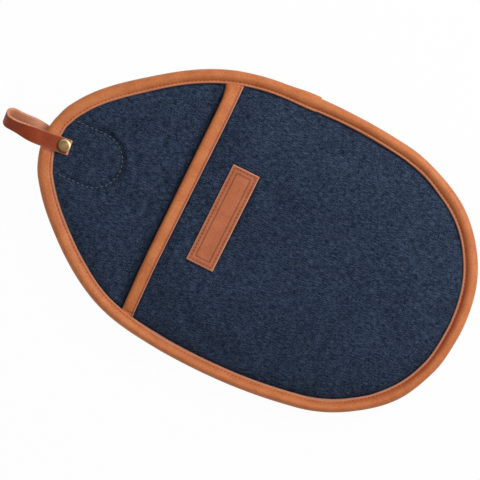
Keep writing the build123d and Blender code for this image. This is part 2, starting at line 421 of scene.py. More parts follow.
@dataclass(frozen=True)
class WovenFinish(Finish):
    """A plain over-and-under weave, for the lining and the stiff backing."""

    name: str
    ground: Colour
    shade: Colour
    thread: float = 0.45 * MM
    cloud_scale: float = 700.0
    depth: float = 0.12 * MM

    def paint(self, bench: Bench) -> None:
        """Weave the threads and shade the gaps between them.

        Args:
            bench: The material's bench.
        """
        spot = bench.place()
        along = bench.node("ShaderNodeSeparateXYZ", None, {"Vector": spot}, "X")
        warp = along * (1 / self.thread)
        weft = along.beside("Y") * (1 / self.thread)
        weave = bench.weave(warp, weft, 2.0)[1]
        cloud = bench.noise(spot, self.cloud_scale, 3.0)
        cloth = bench.mix(cloud.between(0.3, 0.7), self.shade, self.ground)
        cloth = bench.mix((1.0 - weave) * 0.4, cloth, self.shade)
        normal = bench.relief(weave, self.depth, 0.6)
        bench.surface(Base_Color=cloth, Roughness=0.9, Specular_IOR_Level=0.2, Normal=normal)


@dataclass(frozen=True)
class WaddingFinish(Finish):
    """Off-white felted padding with loose fibres."""

    name: str = "felted_wadding"
    pale: Colour = screen(219, 214, 199)
    shade: Colour = screen(188, 181, 164)
    tuft_scale: float = 160.0
    fibre_scales: Point = (300.0, 2200.0, 900.0)
    depth: float = 0.8 * MM

    def paint(self, bench: Bench) -> None:
        """Mix tufts and fibres.

        Args:
            bench: The material's bench.
        """
        spot = bench.place()
        tuft = bench.noise(spot, self.tuft_scale, 5.0)
        fibre = bench.noise(bench.place(0.5, self.fibre_scales), 1.0, 3.0)
        felt = bench.mix((tuft * 0.6 + fibre * 0.4).between(0.3, 0.7), self.shade, self.pale)
        normal = bench.relief(tuft + fibre * 0.5, self.depth, 0.7)
        bench.surface(Base_Color=felt, Roughness=0.95, Specular_IOR_Level=0.1, Normal=normal)


@dataclass(frozen=True)
class LeatherFinish(Finish):
    """Smooth leather whose points say where it is cut, where it is pressed and carries painted shade, and
    where it shows its flesh side.
    """

    name: str
    grain: Colour
    shade: Colour
    # Colour of pressed places and of the painted shade beside stitches
    pressing_and_shade: Colour
    cut: Colour
    flesh: Colour
    roughness: float = 0.52
    gloss: float = 0.34
    coat: float = 0.02
    mottle_scale: float = 110.0
    pore_scale: float = 900.0
    cell_scale: float = 1300.0
    fibre_scales: Point = (500.0, 1500.0, 900.0)
    depth: float = 0.12 * MM

    def paint(self, bench: Bench) -> None:
        """Lay the grain, then the pressed places with their painted shade, the flesh and the cut places over
        it.

        Args:
            bench: The material's bench.
        """
        spot = bench.place()
        mottle = bench.noise(spot, self.mottle_scale, 4.0)
        pores = bench.noise(spot, self.pore_scale, 3.0)
        cells = bench.node("ShaderNodeTexVoronoi", None, {"Vector": spot, "Scale": self.cell_scale})
        fibre = bench.noise(bench.place(0.3, self.fibre_scales), 1.0, 4.0)
        cut, pressing_and_shade, flesh = (bench.attribute(name) for name in ("cut", "pressing_and_shade", "flesh"))
        tone = mottle * 0.5 + pores * 0.5
        skin = bench.mix(tone.between(0.3, 0.7), self.shade, self.grain)
        # Pressing and painted shade: the stitch grooves, the label's pressed frame and the shade band at the
        # binding's wide end
        skin = bench.mix(pressing_and_shade * 0.85, skin, self.pressing_and_shade)
        inside = bench.mix(fibre.between(0.25, 0.7) * 0.18, self.flesh, self.grain)
        skin = bench.mix(flesh, skin, inside)
        edge = bench.mix(pores.between(0.3, 0.7) * 0.35, self.cut, self.grain)
        skin = bench.mix(cut, skin, edge)
        rough = self.roughness + pores * 0.16 - 0.08 + flesh * 0.3 + cut * 0.25
        height = cells * -0.5 + pores * 0.8 + fibre * flesh
        bench.surface(
            Base_Color=skin,
            Roughness=rough,
            Specular_IOR_Level=self.gloss,
            Coat_Weight=self.coat,
            Coat_Roughness=0.45,
            Normal=bench.relief(height, self.depth, 0.6),
        )


@dataclass(frozen=True)
class BrassFinish(Finish):
    """Antique brass: brushed and stained, with a painted highlight on the lit side of the cap's rim and
    painted shade on the far side.
    """

    name: str = "antique_brass"
    bright: Colour = screen(120, 95, 62)
    # Colour of the painted highlight on the lit side of the cap's rim
    painted_highlight: Colour = screen(236, 212, 164)
    # Colour of the tarnish stains and of the painted shade on the rim
    tarnish_and_shade: Colour = screen(52, 34, 20)
    axis: Place = (0.0, 0.0)
    # How far the shaded rim's centre is moved towards the light, so that the far side of the rim gets painted
    # shade
    shift_to_light: Place = (0.5 * MM, 0.62 * MM)
    radius: float = 4.5 * MM
    brush_scales: Point = (300.0, 5200.0, 900.0)
    stain_scale: float = 900.0
    depth: float = 0.02 * MM

    def paint(self, bench: Bench) -> None:
        """Brush the metal, paint a highlight on the lit side of its rim, paint shade on the rest of the rim
        and add tarnish stains.

        Args:
            bench: The material's bench.
        """
        spot = bench.place()
        edge = self.reach_from(bench, spot, self.axis).between(0.72, 0.94)
        lit_centre = (self.axis[0] + self.shift_to_light[0], self.axis[1] + self.shift_to_light[1])
        brushed = bench.noise(bench.place(0.7, self.brush_scales), 1.0, 3.0)
        stain = bench.noise(spot, self.stain_scale, 4.0)
        # Painted shade: a rim band round a centre moved towards the light, widest on the far side
        rim = self.reach_from(bench, spot, lit_centre).between(0.76, 1.06)
        # Painted highlight on the lit side of the rim
        metal = bench.mix(edge * (1.0 - rim) * 0.9, self.bright, self.painted_highlight)
        # Painted shade on the rim, with real tarnish stains
        metal = bench.mix(rim * 0.85 + stain.between(0.45, 0.75) * 0.25, metal, self.tarnish_and_shade)
        bench.surface(
            Base_Color=metal,
            Metallic=1.0,
            Roughness=0.3 + brushed * 0.2 + stain * 0.12,
            Normal=bench.relief(brushed + stain, self.depth, 0.4),
        )

    def reach_from(self, bench: Bench, spot: Wire, middle: Place) -> Wire:
        """Measure how far a spot lies from an upright line, as a share of the cap's radius.

        Args:
            bench: The material's bench.
            spot: The spot's coordinates.
            middle: The line's place.

        Returns:
            The share.
        """
        flat = {"Vector": spot, "Scale": (1.0, 1.0, 0.0), "Location": (-middle[0], -middle[1], 0.0)}
        offset = bench.node("ShaderNodeMapping", None, flat)
        reach = bench.node("ShaderNodeVectorMath", {"operation": "LENGTH"}, {0: offset}, "Value")
        return reach * (1 / self.radius)


@dataclass(frozen=True)
class ThreadFinish(Finish):
    """Twisted sewing thread."""

    name: str
    ply: Colour
    shade: Colour
    ply_scales: Point = (5200.0, 2400.0, 3000.0)
    depth: float = 0.1 * MM

    def paint(self, bench: Bench) -> None:
        """Shade the plies.

        Args:
            bench: The material's bench.
        """
        twist = bench.noise(bench.place(0.6, self.ply_scales), 1.0, 2.0)
        yarn = bench.mix(twist.between(0.3, 0.7), self.shade, self.ply)
        normal = bench.relief(twist, self.depth, 0.6)
        bench.surface(Base_Color=yarn, Roughness=0.7, Specular_IOR_Level=0.3, Normal=normal)


def ready(finish: Finish) -> Material:
    """Give a dataclass field that holds a finish's material."""
    return field(default_factory=finish.material)


@dataclass(frozen=True)
class Finishes:
    """Every finish of the sewn pieces, made once."""

    denim: Material = ready(DenimFinish())
    lining: Material = ready(WovenFinish("navy_lining", screen(47, 57, 76), screen(30, 38, 54)))
    backing: Material = ready(
        WovenFinish("stiff_backing", screen(140, 128, 107), screen(104, 94, 78), 0.7 * MM)
    )
    wadding: Material = ready(WaddingFinish())
    binding: Material = ready(
        LeatherFinish(
            "tan_binding_leather",
            grain=screen(212, 127, 71),
            shade=screen(185, 99, 50),
            # Painted shade colour for the binding's seam grooves and the shade band at its wide end
            pressing_and_shade=screen(142, 42, 12),
            cut=screen(186, 144, 132),
            flesh=screen(214, 160, 126),
        )
    )
    label: Material = ready(
        LeatherFinish(
            "pale_label_leather",
            grain=screen(193, 110, 69),
            shade=screen(168, 86, 46),
            # Colour of the label's pressed frame and stitch line, with their painted shade
            pressing_and_shade=screen(84, 45, 30),
            cut=screen(218, 158, 132),
            flesh=screen(206, 150, 116),
        )
    )
    strap: Material = ready(
        LeatherFinish(
            "red_brown_strap_leather",
            grain=screen(158, 62, 22),
            shade=screen(126, 44, 14),
            pressing_and_shade=screen(90, 34, 16),
            cut=screen(226, 160, 128),
            flesh=screen(228, 168, 132),
            roughness=0.46,
            gloss=0.2,
            coat=0.04,
        )
    )
    rust_thread: Material = ready(ThreadFinish("rust_thread", screen(150, 72, 40), screen(110, 48, 28)))
    brown_thread: Material = ready(ThreadFinish("brown_thread", screen(86, 46, 34), screen(58, 30, 24)))
    beige_thread: Material = ready(ThreadFinish("beige_thread", screen(156, 150, 160), screen(100, 94, 106)))


def add_object(name: str, data: bpy.types.ID) -> Piece:
    """Put a mesh, a lamp or a camera into the scene.

    Args:
        name: The object's name.
        data: The mesh, the lamp or the camera.

    Returns:
        The object.
    """
    made = bpy.data.objects.new(name, data)
    bpy.context.scene.collection.objects.link(made)
    return made


def new_piece(
    name: str,
    vertices: Array,
    faces: list[Sequence[int]],
    material: Material,
    marks: dict[str, Array] | None = None,
) -> Piece:
    """Make a smooth-shaded mesh object with its place in its mesh.

    Args:
        name: The piece's name.
        vertices: Its points, one row each.
        faces: Its faces, as numbers of points.
        material: Its finish.
        marks: Numbers that its points carry for the finish, by name.

    Returns:
        The object, in the scene, with its faces pointing outwards.
    """
    mesh = bpy.data.meshes.new(name)
    mesh.from_pydata(np.asarray(vertices).tolist(), [], faces)
    for mark, values in (marks or {}).items():
        layer = mesh.attributes.new(mark, "FLOAT", "POINT")
        layer.data.foreach_set("value", np.ascontiguousarray(values, dtype=np.float32).ravel())
    mesh.calc_loop_triangles()
    corners = np.array([triangle.vertices[:] for triangle in mesh.loop_triangles])
    a, b, c = (np.asarray(vertices)[corners[:, k]] for k in range(3))
    if np.einsum("ij,ij->i", a, np.cross(b, c)).sum() < 0:
        mesh.flip_normals()
    mesh.materials.append(material)
    mesh.polygons.foreach_set("use_smooth", np.ones(len(mesh.polygons), dtype=bool))
    mesh.validate()
    return add_object(name, mesh)


def join_body(piece: Piece, body: Body, slot: Slot, *nodes: str) -> None:
    """Put a piece on its body and hide the solids that it replaces.

    Args:
        piece: The dressed piece.
        body: The body that carries it.
        slot: Not used.
        nodes: The solids that it replaces.
    """
    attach(piece, body.value)
    if nodes:
        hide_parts(*nodes)
    LOG.info("%s: %d faces on %s", piece.name, len(piece.data.polygons), body.value)


def grid_faces(
    rows: int, columns: int, wrap_rows: bool = False, wrap_columns: bool = False, first: int = 0
) -> list[list[int]]:
    """List the four-sided faces of a grid of points.

    Args:
        rows: Rows of points.
        columns: Points in a row.
        wrap_rows: Whether the last row joins the first.
        wrap_columns: Whether a row's last point joins its first.
        first: The number of the grid's first point.

    Returns:
        The faces, with rows running inwards and columns counter-clockwise seen from their front.
    """
    row = np.arange(rows if wrap_rows else rows - 1)[:, None]
    column = np.arange(columns if wrap_columns else columns - 1)[None, :]
    here, below = row * columns, (row + 1) % rows * columns
    right = (column + 1) % columns
    faces = np.stack(np.broadcast_arrays(here + column, here + right, below + right, below + column), -1)
    return (faces.reshape(-1, 4) + first).tolist()


def lifted(heights: Heights, rise: float) -> Heights:
    """Give the same heights, lifted."""
    return lambda x, y: heights(x, y) + rise


def pad_piece(
    node: str,
    slot: Slot,
    edge: Array,
    pole: Place,
    shares: tuple[Array, Array],
    faces_at: tuple[Heights, Heights],
    material: Material,
    painted_shade: Heights | None = None,
) -> Piece:
    """Make a closed layer between an upper and a lower height, as rings that close in on one point.

    Args:
        node: The solid that it replaces, which also gives it its name.
        slot: The record's finish for it.
        edge: The layer's edge, counter-clockwise, as rows of X and Y.
        pole: The point the rings close in on.
        shares: How far each ring lies from the edge to that point, for the upper and the lower face.
        faces_at: The heights of the upper and the lower face.
        material: The layer's finish.
        painted_shade: How much painted shade the cloth gets by its seams, from 0 to 1.

    Returns:
        The piece.
    """
    count = len(edge)
    points, faces = [], []
    for side, (ring_shares, height) in enumerate(zip(shares, faces_at)):
        flat = edge[None] + (np.asarray(pole) - edge)[None] * ring_shares[:, None, None]
        flat = np.concatenate([flat.reshape(-1, 2), [pole]])
        first = sum(len(p) for p in points)
        points.append(np.column_stack([flat, height(flat[:, 0], flat[:, 1])]))
        made = grid_faces(len(ring_shares), count, False, True, first)
        inner = first + (len(ring_shares) - 1) * count
        made += [[inner + c, inner + (c + 1) % count, first + len(flat) - 1] for c in range(count)]
        faces += [face[::-1] for face in made] if side else made
    below = len(points[0])
    faces += [[below + c, below + (c + 1) % count, (c + 1) % count, c] for c in range(count)]
    vertices = np.concatenate(points)
    # Each point carries its share of painted shade for the denim's finish
    marks = {"painted_shade": painted_shade(vertices[:, 0], vertices[:, 1])} if painted_shade else None
    stuff = "_felt" if slot is Slot.WADDING else "_cloth"
    piece = new_piece(node + stuff, vertices, faces, material, marks)
    join_body(piece, Body.MITT, slot, node)
    return piece


@dataclass
class EggOutline:
    """The mitt's egg-shaped edge: eight arcs that meet without corners, found by the angle they face."""

    length: float
    width: float
    tip_x: float
    tip_radius: float = 47 * MM
    headings: tuple[float, float, float] = (57.0, 4.0, -9.0)
    # The degrees round the edge, and how far out it wavers there, in mm
    waver: Table = (
        (0, -1.1), (25, 0.1), (45, 0.0), (67, -1.15), (86, 0.0), (105, 0.25), (126, -2.1), (144, 0.6),
        (160, -0.2), (195, -0.6), (218, 0.0), (227, -0.4), (247, 1.15), (263, -0.75), (276, 0.4), (300, 0.2),
        (320, 1.3), (338, 0.0), (353, -1.2),
    )
    starts: Array = field(init=False)
    centres: Array = field(init=False)
    radii: Array = field(init=False)

    def __post_init__(self) -> None:
        """Solve the arcs from the length, the width and the narrow end's radius."""
        s1, s2, s3 = (math.sin(math.radians(h)) for h in self.headings)
        c1, c2, c3 = (math.cos(math.radians(h)) for h in self.headings)
        half = self.width / 2
        shoulder_base, shoulder_share = (half - self.tip_radius * c1) / (c2 - c1), (1 - c2) / (c2 - c1)
        end_base, end_share = half / c3, (1 - c3) / c3
        left = self.length - self.tip_radius * (1 - s1) - shoulder_base * (s1 - s2) - end_base * (1 + s3)
        flank = left / ((s2 - s3) - shoulder_share * (s1 - s2) - end_share * (1 + s3))
        shoulder, end = shoulder_base - shoulder_share * flank, end_base - end_share * flank
        breaks = [0.0] + [math.radians(90 + h) for h in reversed(self.headings)] + [math.pi]
        radii = [end, flank, shoulder, self.tip_radius]
        centres = [np.array([self.tip_x + self.length - end, 0.0])]
        for k in range(3):
            ahead = np.array([math.cos(breaks[k + 1]), math.sin(breaks[k + 1])])
            centres.append(centres[-1] + (radii[k] - radii[k + 1]) * ahead)
        mirrored = [c * (1, -1) for c in reversed(centres)]
        self.starts = np.array(breaks[:4] + [TURN - b for b in reversed(breaks[1:])])
        self.centres = np.array(centres + mirrored)
        self.radii = np.array(radii + radii[::-1])

    def at(self, angle: Array, inset: Array | float) -> Array:
        """Give points inside the edge.

        Args:
            angle: Which way the edge faces there.
            inset: How far inside the edge.

        Returns:
            X and Y in the last axis.
        """
        turned = np.mod(angle, TURN)
        arc = np.clip(np.searchsorted(self.starts, turned, side="right") - 1, 0, 7)
        reach = self.radii[arc] + round_table(turned, self.waver) - inset
        x = self.centres[arc, 0] + reach * np.cos(turned)
        return np.stack([x, self.centres[arc, 1] + reach * np.sin(turned)], -1)

    def marks(self, inset: float) -> Array:
        """Give the distance round the edge, from the wide end, at which each arc starts, and the whole."""
        turns = np.diff(np.append(self.starts, TURN))
        return np.concatenate([[0.0], np.cumsum((self.radii - inset) * turns)])

    def facing(self, distance: Array, inset: float) -> Array:
        """Give the angle that the edge faces at a distance round it from the wide end."""
        marks = self.marks(inset)
        return np.interp(np.mod(distance, marks[-1]), marks, np.append(self.starts, TURN))

    def locate(self, x: Array, y: Array) -> tuple[Array, Array]:
        """Find how far inside the edge points lie, and beside which place on it.

        Args:
            x: Places along X.
            y: Places along Y.

        Returns:
            The inset and the distance round the edge from the wide end.
        """
        marks = self.marks(0.0)
        ends = np.append(self.starts[1:], TURN)
        inset = np.full(np.shape(x), np.inf)
        distance = np.zeros(np.shape(x))
        for arc, (centre, radius) in enumerate(zip(self.centres, self.radii)):
            angle = np.mod(np.arctan2(y - centre[1], x - centre[0]), TURN)
            gap = radius + round_table(angle, self.waver) - np.hypot(x - centre[0], y - centre[1])
            nearer = (angle >= self.starts[arc]) & (angle <= ends[arc]) & (gap < inset)
            inset = np.where(nearer, gap, inset)
            distance = np.where(nearer, marks[arc] + radius * (angle - self.starts[arc]), distance)
        return inset, distance


@dataclass
class Swell:
    """Height changes on a square grid that a cloth simulation has made, smooth between its points."""

    low: Place
    step: float
    change: Array

    def at(self, x: Array, y: Array) -> Array:
        """Read the change at any points.

        Args:
            x: Places along X.
            y: Places along Y.

        Returns:
            The height change at each.
        """
        across = np.clip((np.asarray(x) - self.low[0]) / self.step, 1, self.change.shape[0] - 2.001)
        along = np.clip((np.asarray(y) - self.low[1]) / self.step, 1, self.change.shape[1] - 2.001)
        first, second = across.astype(int), along.astype(int)
        total = np.zeros(across.shape)
        for i, row_share in enumerate(self.shares(across - first)):
            for j, column_share in enumerate(self.shares(along - second)):
                total += row_share * column_share * self.change[first + i - 1, second + j - 1]
        return total

    @staticmethod
    def shares(part: Array) -> tuple[Array, ...]:
        """Give the four weights of a smooth cubic spline at part of a step.

        Args:
            part: The part, from 0 to 1.

        Returns:
            The weights.
        """
        rest = 1 - part
        return (
            rest**3 / 6,
            (4 - 6 * part**2 + 3 * part**3) / 6,
            (4 - 6 * rest**2 + 3 * rest**3) / 6,
            part**3 / 6,
        )


@dataclass(frozen=True)
class PuffTest:
    """A padded skin to be swollen by simulated cloth that is held along its seams."""

    name: str
    low: Place
    high: Place
    step: float
    most: float
    pressure: float = 4.0
    slack: float = 0.012
    frames: int = 20

    def run(self, start: Heights, held: Heights) -> Swell:
        """Swell the skin and measure by how much.

        Args:
            start: The skin's height before.
            held: How firmly seams hold it at each point, from 0 to 1.

        Returns:
            The change in height, capped and evened out.
        """
        columns = np.arange(self.low[0], self.high[0], self.step)
        rows = np.arange(self.low[1], self.high[1], self.step)
        x, y = np.meshgrid(columns, rows, indexing="ij")
        before, firm = start(x, y), held(x, y)
        faces = [face[::-1] for face in grid_faces(*x.shape)]
        mesh = bpy.data.meshes.new(self.name)
        mesh.from_pydata(np.stack([x, y, before], -1).reshape(-1, 3).tolist(), [], faces)
        skin = add_object(self.name, mesh)
        seams = skin.vertex_groups.new(name="seams")
        for number, weight in enumerate(firm.ravel()):
            seams.add([number], float(weight), "REPLACE")
        self.inflate(skin, seams.name)
        after = skin.evaluated_get(bpy.context.evaluated_depsgraph_get())
        places = np.zeros(len(mesh.vertices) * 3)
        after.data.vertices.foreach_get("co", places)
        change = np.clip(places.reshape(x.shape + (3,))[..., 2] - before, -self.most, self.most)
        bpy.context.scene.frame_set(1)
        bpy.data.objects.remove(skin)
        bpy.data.meshes.remove(mesh)
        LOG.info("%s: moved %.2f to %.2f mm", self.name, change.min() / MM, change.max() / MM)
        return Swell(self.low, self.step, change * (1 - firm))

    def inflate(self, skin: Piece, seams: str) -> None:
        """Blow the skin up as cloth, frame by frame.

        Args:
            skin: The skin.
            seams: The group that says how firmly its points are held.
        """
        cloth = skin.modifiers.new("cloth", "CLOTH")
        values = {
            "vertex_group_mass": seams,
            "pin_stiffness": 1.0,
            "quality": 6,
            "mass": 0.3,
            "use_pressure": True,
            "uniform_pressure_force": self.pressure,
            "shrink_min": -self.slack,
            "tension_stiffness": 30.0,
            "compression_stiffness": 30.0,
            "shear_stiffness": 15.0,
            "bending_stiffness": 2.0,
        }
        for name, value in values.items():
            setattr(cloth.settings, name, value)
        cloth.settings.effector_weights.gravity = 0.0
        cloth.point_cache.frame_start = 1
        cloth.point_cache.frame_end = self.frames
        for moment in range(1, self.frames + 1):
            bpy.context.scene.frame_set(moment)


@dataclass
class MittShape:
    """The heights of every layer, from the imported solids' boxes and the photograph."""

    outline: EggOutline
    mouth_x: float
    rim_low: float
    rim_high: float
    pocket_floor: float
    crown_z: float
    rivet: Place
    label: Place
    binding_width: float = 9.4 * MM
    crown_inset: float = 66 * MM
    foot_inset: float = 10.4 * MM
    foot_spread: float = 3.6 * MM
    panel: float = 6.2 * MM
    dome: float = 1.85
    bank: float = 1.7 * MM
    bank_run: float = 2.6 * MM
    pocket_ripple: float = 0.45 * MM
    mouth_sag: float = 0.4
    sag_run: float = 17 * MM
    mouth_shift: float = 0.8 * MM
    mouth_skew: float = 0.029
    mouth_height: float = 1.9 * MM
    tail_puff: float = 2.9 * MM
    tail_rise: float = 9 * MM
    tail_ripple: float = 0.28 * MM
    rivet_dimple: float = 9 * MM
    tab_half: float = 18.7 * MM
    tab_centre_x: float = -102.5 * MM
    tab_puff: float = 0.42
    valley_depth: float = 0.9
    valley_flat: float = 0.6 * MM
    valley_fall: float = 1.4 * MM
    back_ripple: float = 0.22 * MM
    pleats: tuple[float, float] = (6.1 * MM, 9.7 * MM)
    tape_width: float = 8.8 * MM
    label_length: float = 70 * MM
    label_width: float = 19.4 * MM
    label_tilt: float = math.radians(-2.2)
    grid_half: float = 104 * MM
    pocket_swell: Swell | None = None
    tail_swell: Swell | None = None

    @classmethod
    def from_frame(cls) -> "MittShape":
        """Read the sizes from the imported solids.

        Returns:
            The shape.
        """
        binding_low, binding_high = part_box("edge_binding")
        cap_low, cap_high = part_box("rivet_cap")
        label_low, label_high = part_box("label_patch")
        outline = EggOutline(binding_high.x - binding_low.x, -2 * binding_low.y, binding_low.x)
        return cls(
            outline=outline,
            mouth_x=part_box("pocket_denim")[0].x,
            rim_low=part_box("base_back_denim")[1].z - DENIM,
            rim_high=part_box("base_inner_denim")[1].z,
            pocket_floor=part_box("pocket_lining")[0].z,
            crown_z=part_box("pocket_denim")[1].z,
            rivet=((cap_low.x + cap_high.x) / 2, (cap_low.y + cap_high.y) / 2),
            label=((label_low.x + label_high.x) / 2, (label_low.y + label_high.y) / 2),
        )

    def mouth(self, y: Array) -> Array:
        """Give the place along X of the pocket's mouth, which runs a little askew but for its ends.

        Args:
            y: Places along Y.

        Returns:
            The places along X.
        """
        places = np.array([-54, -44, 54, 64, 76]) * MM
        skewed = np.interp(y, places, np.array([-48, -43, 53.5, 60.5, 62]) * MM)
        return self.mouth_x + self.mouth_shift + self.mouth_skew * skewed

    def tab_gap(self, x: Array, y: Array) -> Array:
        """Give the distance outwards from the U-shaped stitch line, below 0 inside it."""
        round_end = np.hypot(x - self.tab_centre_x, y)
        return np.where(x > self.tab_centre_x, round_end, np.abs(y)) - self.tab_half

    @property
    def middle(self) -> float:
        """Give the height of the middle of the edge."""
        return (self.rim_low + self.rim_high) / 2

    def tab_line(self, start_x: float, steps: int, side_steps: int) -> tuple[Array, Array]:
        """Give the U-shaped line's round end and its upper side.

        Args:
            start_x: Where the sides start.
            steps: How many points the round end has.
            side_steps: How many points a side has.

        Returns:
            X and Y of the round end's points, and of the upper side's.
        """
        turns = np.linspace(-math.pi / 2, math.pi / 2, steps)
        bow = self.tab_half * np.column_stack([np.cos(turns), np.sin(turns)]) + (self.tab_centre_x, 0.0)
        side = np.linspace(self.tab_centre_x, start_x, side_steps)[1:]
        return bow, np.column_stack([side, np.full(len(side), self.tab_half)])

    def from_rivet(self, x: Array, y: Array) -> Array:
        """Give the distance from the rivet's axis."""
        return np.hypot(x - self.rivet[0], y - self.rivet[1])

    def base_top(self, x: Array, y: Array) -> Array:
        """Give the height of the base's upper denim, puffed on the narrow end outside the U-shaped line.

        Args:
            x: Places along X.
            y: Places along Y.

        Returns:
            The heights.
        """
        inset, distance = self.outline.locate(x, y)
        tab = self.tab_gap(x, y)
        puff = 1 - np.exp(-((np.maximum(inset - self.binding_width, 0) / self.tail_rise) ** 1.5))
        puff = puff * (self.tab_puff + (1 - self.tab_puff) * ease(tab, -0.5 * MM, 5 * MM))
        puff = puff * (1 - bell(self.from_rivet(x, y), self.rivet_dimple))
        valley = bell(np.maximum(np.abs(tab) - self.valley_flat, 0), self.valley_fall)
        valley = valley * ease(inset, 13 * MM, 17 * MM)
        tail = self.rim_high + self.tail_puff * puff * (1 - self.valley_depth * valley)
        tail = tail + self.seam_pucker(inset, distance, 0.16 * MM, 11)
        tail = tail + self.tail_ripple * ripple(x, y, 34 * MM, 5) * puff
        if self.tail_swell:
            tail = tail + self.tail_swell.at(x, y)
        roof = np.maximum(self.pocket(x, y, 0.0) - self.mouth_height, self.pocket_floor)
        past = x - self.mouth(y)
        tail = tail - np.maximum(tail - roof, 0) * ease(past, -16 * MM, -3 * MM)
        return tail + (self.pocket_floor - tail) * ease(past, -1 * MM, 14 * MM)

    def base_bottom(self, x: Array, y: Array) -> Array:
        """Give the height of the base's lower denim, flat but for its rim and the rivet's recess.

        Args:
            x: Places along X.
            y: Places along Y.

        Returns:
            The heights.
        """
        inset, distance = self.outline.locate(x, y)
        belly = self.rim_low * (1 - ease(inset, 9.6 * MM, 34 * MM))
        belly = belly + self.back_ripple * (1 + ripple(x, y, 40 * MM, 8)) * ease(inset, 20 * MM, 40 * MM)
        recess = 1 - ease(self.from_rivet(x, y), 12.5 * MM, 21 * MM)
        raised = belly + (np.maximum(self.rim_low - 1.0 * MM, belly) - belly) * recess
        return np.maximum(raised - self.seam_pucker(inset, distance, 0.12 * MM, 12), 0.05 * MM)

    def seam_pucker(self, inset: Array, distance: Array, most: float, seed: int) -> Array:
        """Give the small pleats that the stitches draw into the cloth beside the edge binding.

        Args:
            inset: How far inside the mitt's edge.
            distance: How far round it.
            most: The pleats' height.
            seed: Fixes how they vary.

        Returns:
            The change in height.
        """
        fade = bell(inset - 11.5 * MM, 4.2 * MM) * ease(inset, 8.6 * MM, 12 * MM)
        short, long = (np.cos(distance * TURN / length) for length in self.pleats)
        uneven = 0.6 + 0.5 * ripple(distance, 0 * distance, 60 * MM, seed)
        return most * fade * (short + 0.8 * long) * uneven

    def pocket(self, x: Array, y: Array, rise: float) -> Array:
        """Give the height of a layer of the domed pocket panel.

        Args:
            x: Places along X.
            y: Places along Y.
            rise: How far through the panel, from 0 at the lining's underside to the panel's thickness.

        Returns:
            The layer's height.
        """
        inset, distance = self.outline.locate(x, y)
        part = rise / self.panel
        foot = self.foot_inset + self.foot_spread * (1 - part)
        low = self.pocket_floor + (self.rim_high - self.pocket_floor) * part
        high = self.crown_z - (self.panel - rise)
        climb = np.clip((inset - foot) / (self.crown_inset - foot), 0, 1)
        bank = 1 - np.exp(-np.maximum(inset - foot, 0) / self.bank_run)
        bank = self.bank * part * bank * (1 - climb) ** 2
        sag = self.mouth_sag * bell(np.maximum(x - self.mouth(y) - 4 * MM, 0), self.sag_run)
        height = low + ((high - low) * (1 - (1 - climb) ** self.dome) + bank) * (1 - sag)
        if self.pocket_swell:
            height = height + part * self.pocket_swell.at(x, y)
        settled = ease(inset, 12 * MM, 26 * MM) * (1 - 0.8 * self.near_label(x, y))
        height = height + part * self.pocket_ripple * ripple(x, y, 52 * MM, 3) * settled
        return height + part * self.seam_pucker(inset, distance, 0.3 * MM, 10)

    def painted_shade(self, x: Array, y: Array) -> Array:
        """Give the painted shade where the cloth runs under the edge binding: 1 there, falling to 0 a little
        way inside it.
        """
        inset = self.outline.locate(x, y)[0]
        return bell(np.maximum(inset - self.binding_width, 0), 1.2 * MM)

    def pocket_painted_shade(self, x: Array, y: Array) -> Array:
        """Give the pocket's painted shade: at the edge binding, beside the mouth's tape and round the label.

        Args:
            x: Places along X.
            y: Places along Y.

        Returns:
            How much painted shade, from 0 to 1.
        """
        label = bell(np.maximum(self.label_gap(x, y), 0), 0.5 * MM)
        tape = bell(np.maximum(x - self.tape_edge(y), 0), 0.9 * MM)
        return np.maximum(np.maximum(label, tape), self.painted_shade(x, y))

    def tail_painted_shade(self, x: Array, y: Array) -> Array:
        """Give the narrow end's painted shade: at the edge binding, along the U-shaped line and under the
        mouth.

        Args:
            x: Places along X.
            y: Places along Y.

        Returns:
            How much painted shade, from 0 to 1.
        """
        line = 0.5 * bell(self.tab_gap(x, y), 0.8 * MM) * ease(x - self.rivet[0], 0.0, 4 * MM)
        under = ease(x - self.mouth(y), -4 * MM, -1 * MM)
        return np.maximum(np.maximum(line, under), self.painted_shade(x, y))

    def tape_edge(self, y: Array) -> Array:
        """Give the place along X of the mouth tape's cut edge."""
        return self.mouth(y) + self.tape_reach(y) * self.tape_width

    def tape_reach(self, y: Array) -> Array:
        """Give the mouth tape's share of its full width, a little less on one flank."""
        return 0.93 + 0.065 * y / (85 * MM)

    def label_gap(self, x: Array, y: Array) -> Array:
        """Give the distance outwards from the label's edge, below 0 under it.

        Args:
            x: Places along X.
            y: Places along Y.

        Returns:
            The distances.
        """
        c, s = math.cos(self.label_tilt), math.sin(self.label_tilt)
        over, up = x - self.label[0], y - self.label[1]
        along, across = -s * over + c * up, c * over + s * up
        return np.maximum(np.abs(along) - self.label_length / 2, np.abs(across) - self.label_width / 2)

    def near_label(self, x: Array, y: Array) -> Array:
        """Give 1 under the label, falling to 0 a little way outside it."""
        return 1 - ease(self.label_gap(x, y), 0.0, 12 * MM)

    def pocket_held(self, x: Array, y: Array) -> Array:
        """Hold the pocket at the binding, the mouth and the label.

        Args:
            x: Places along X.
            y: Places along Y.

        Returns:
            How firmly the cloth is held, from 0 to 1.
        """
        inset = self.outline.locate(x, y)[0]
        free = ease(inset, 11 * MM, 15 * MM) * ease(x - self.mouth(y), 8 * MM, 13 * MM)
        return 1 - free * (1 - ease(self.near_label(x, y), 0.6, 1.0))

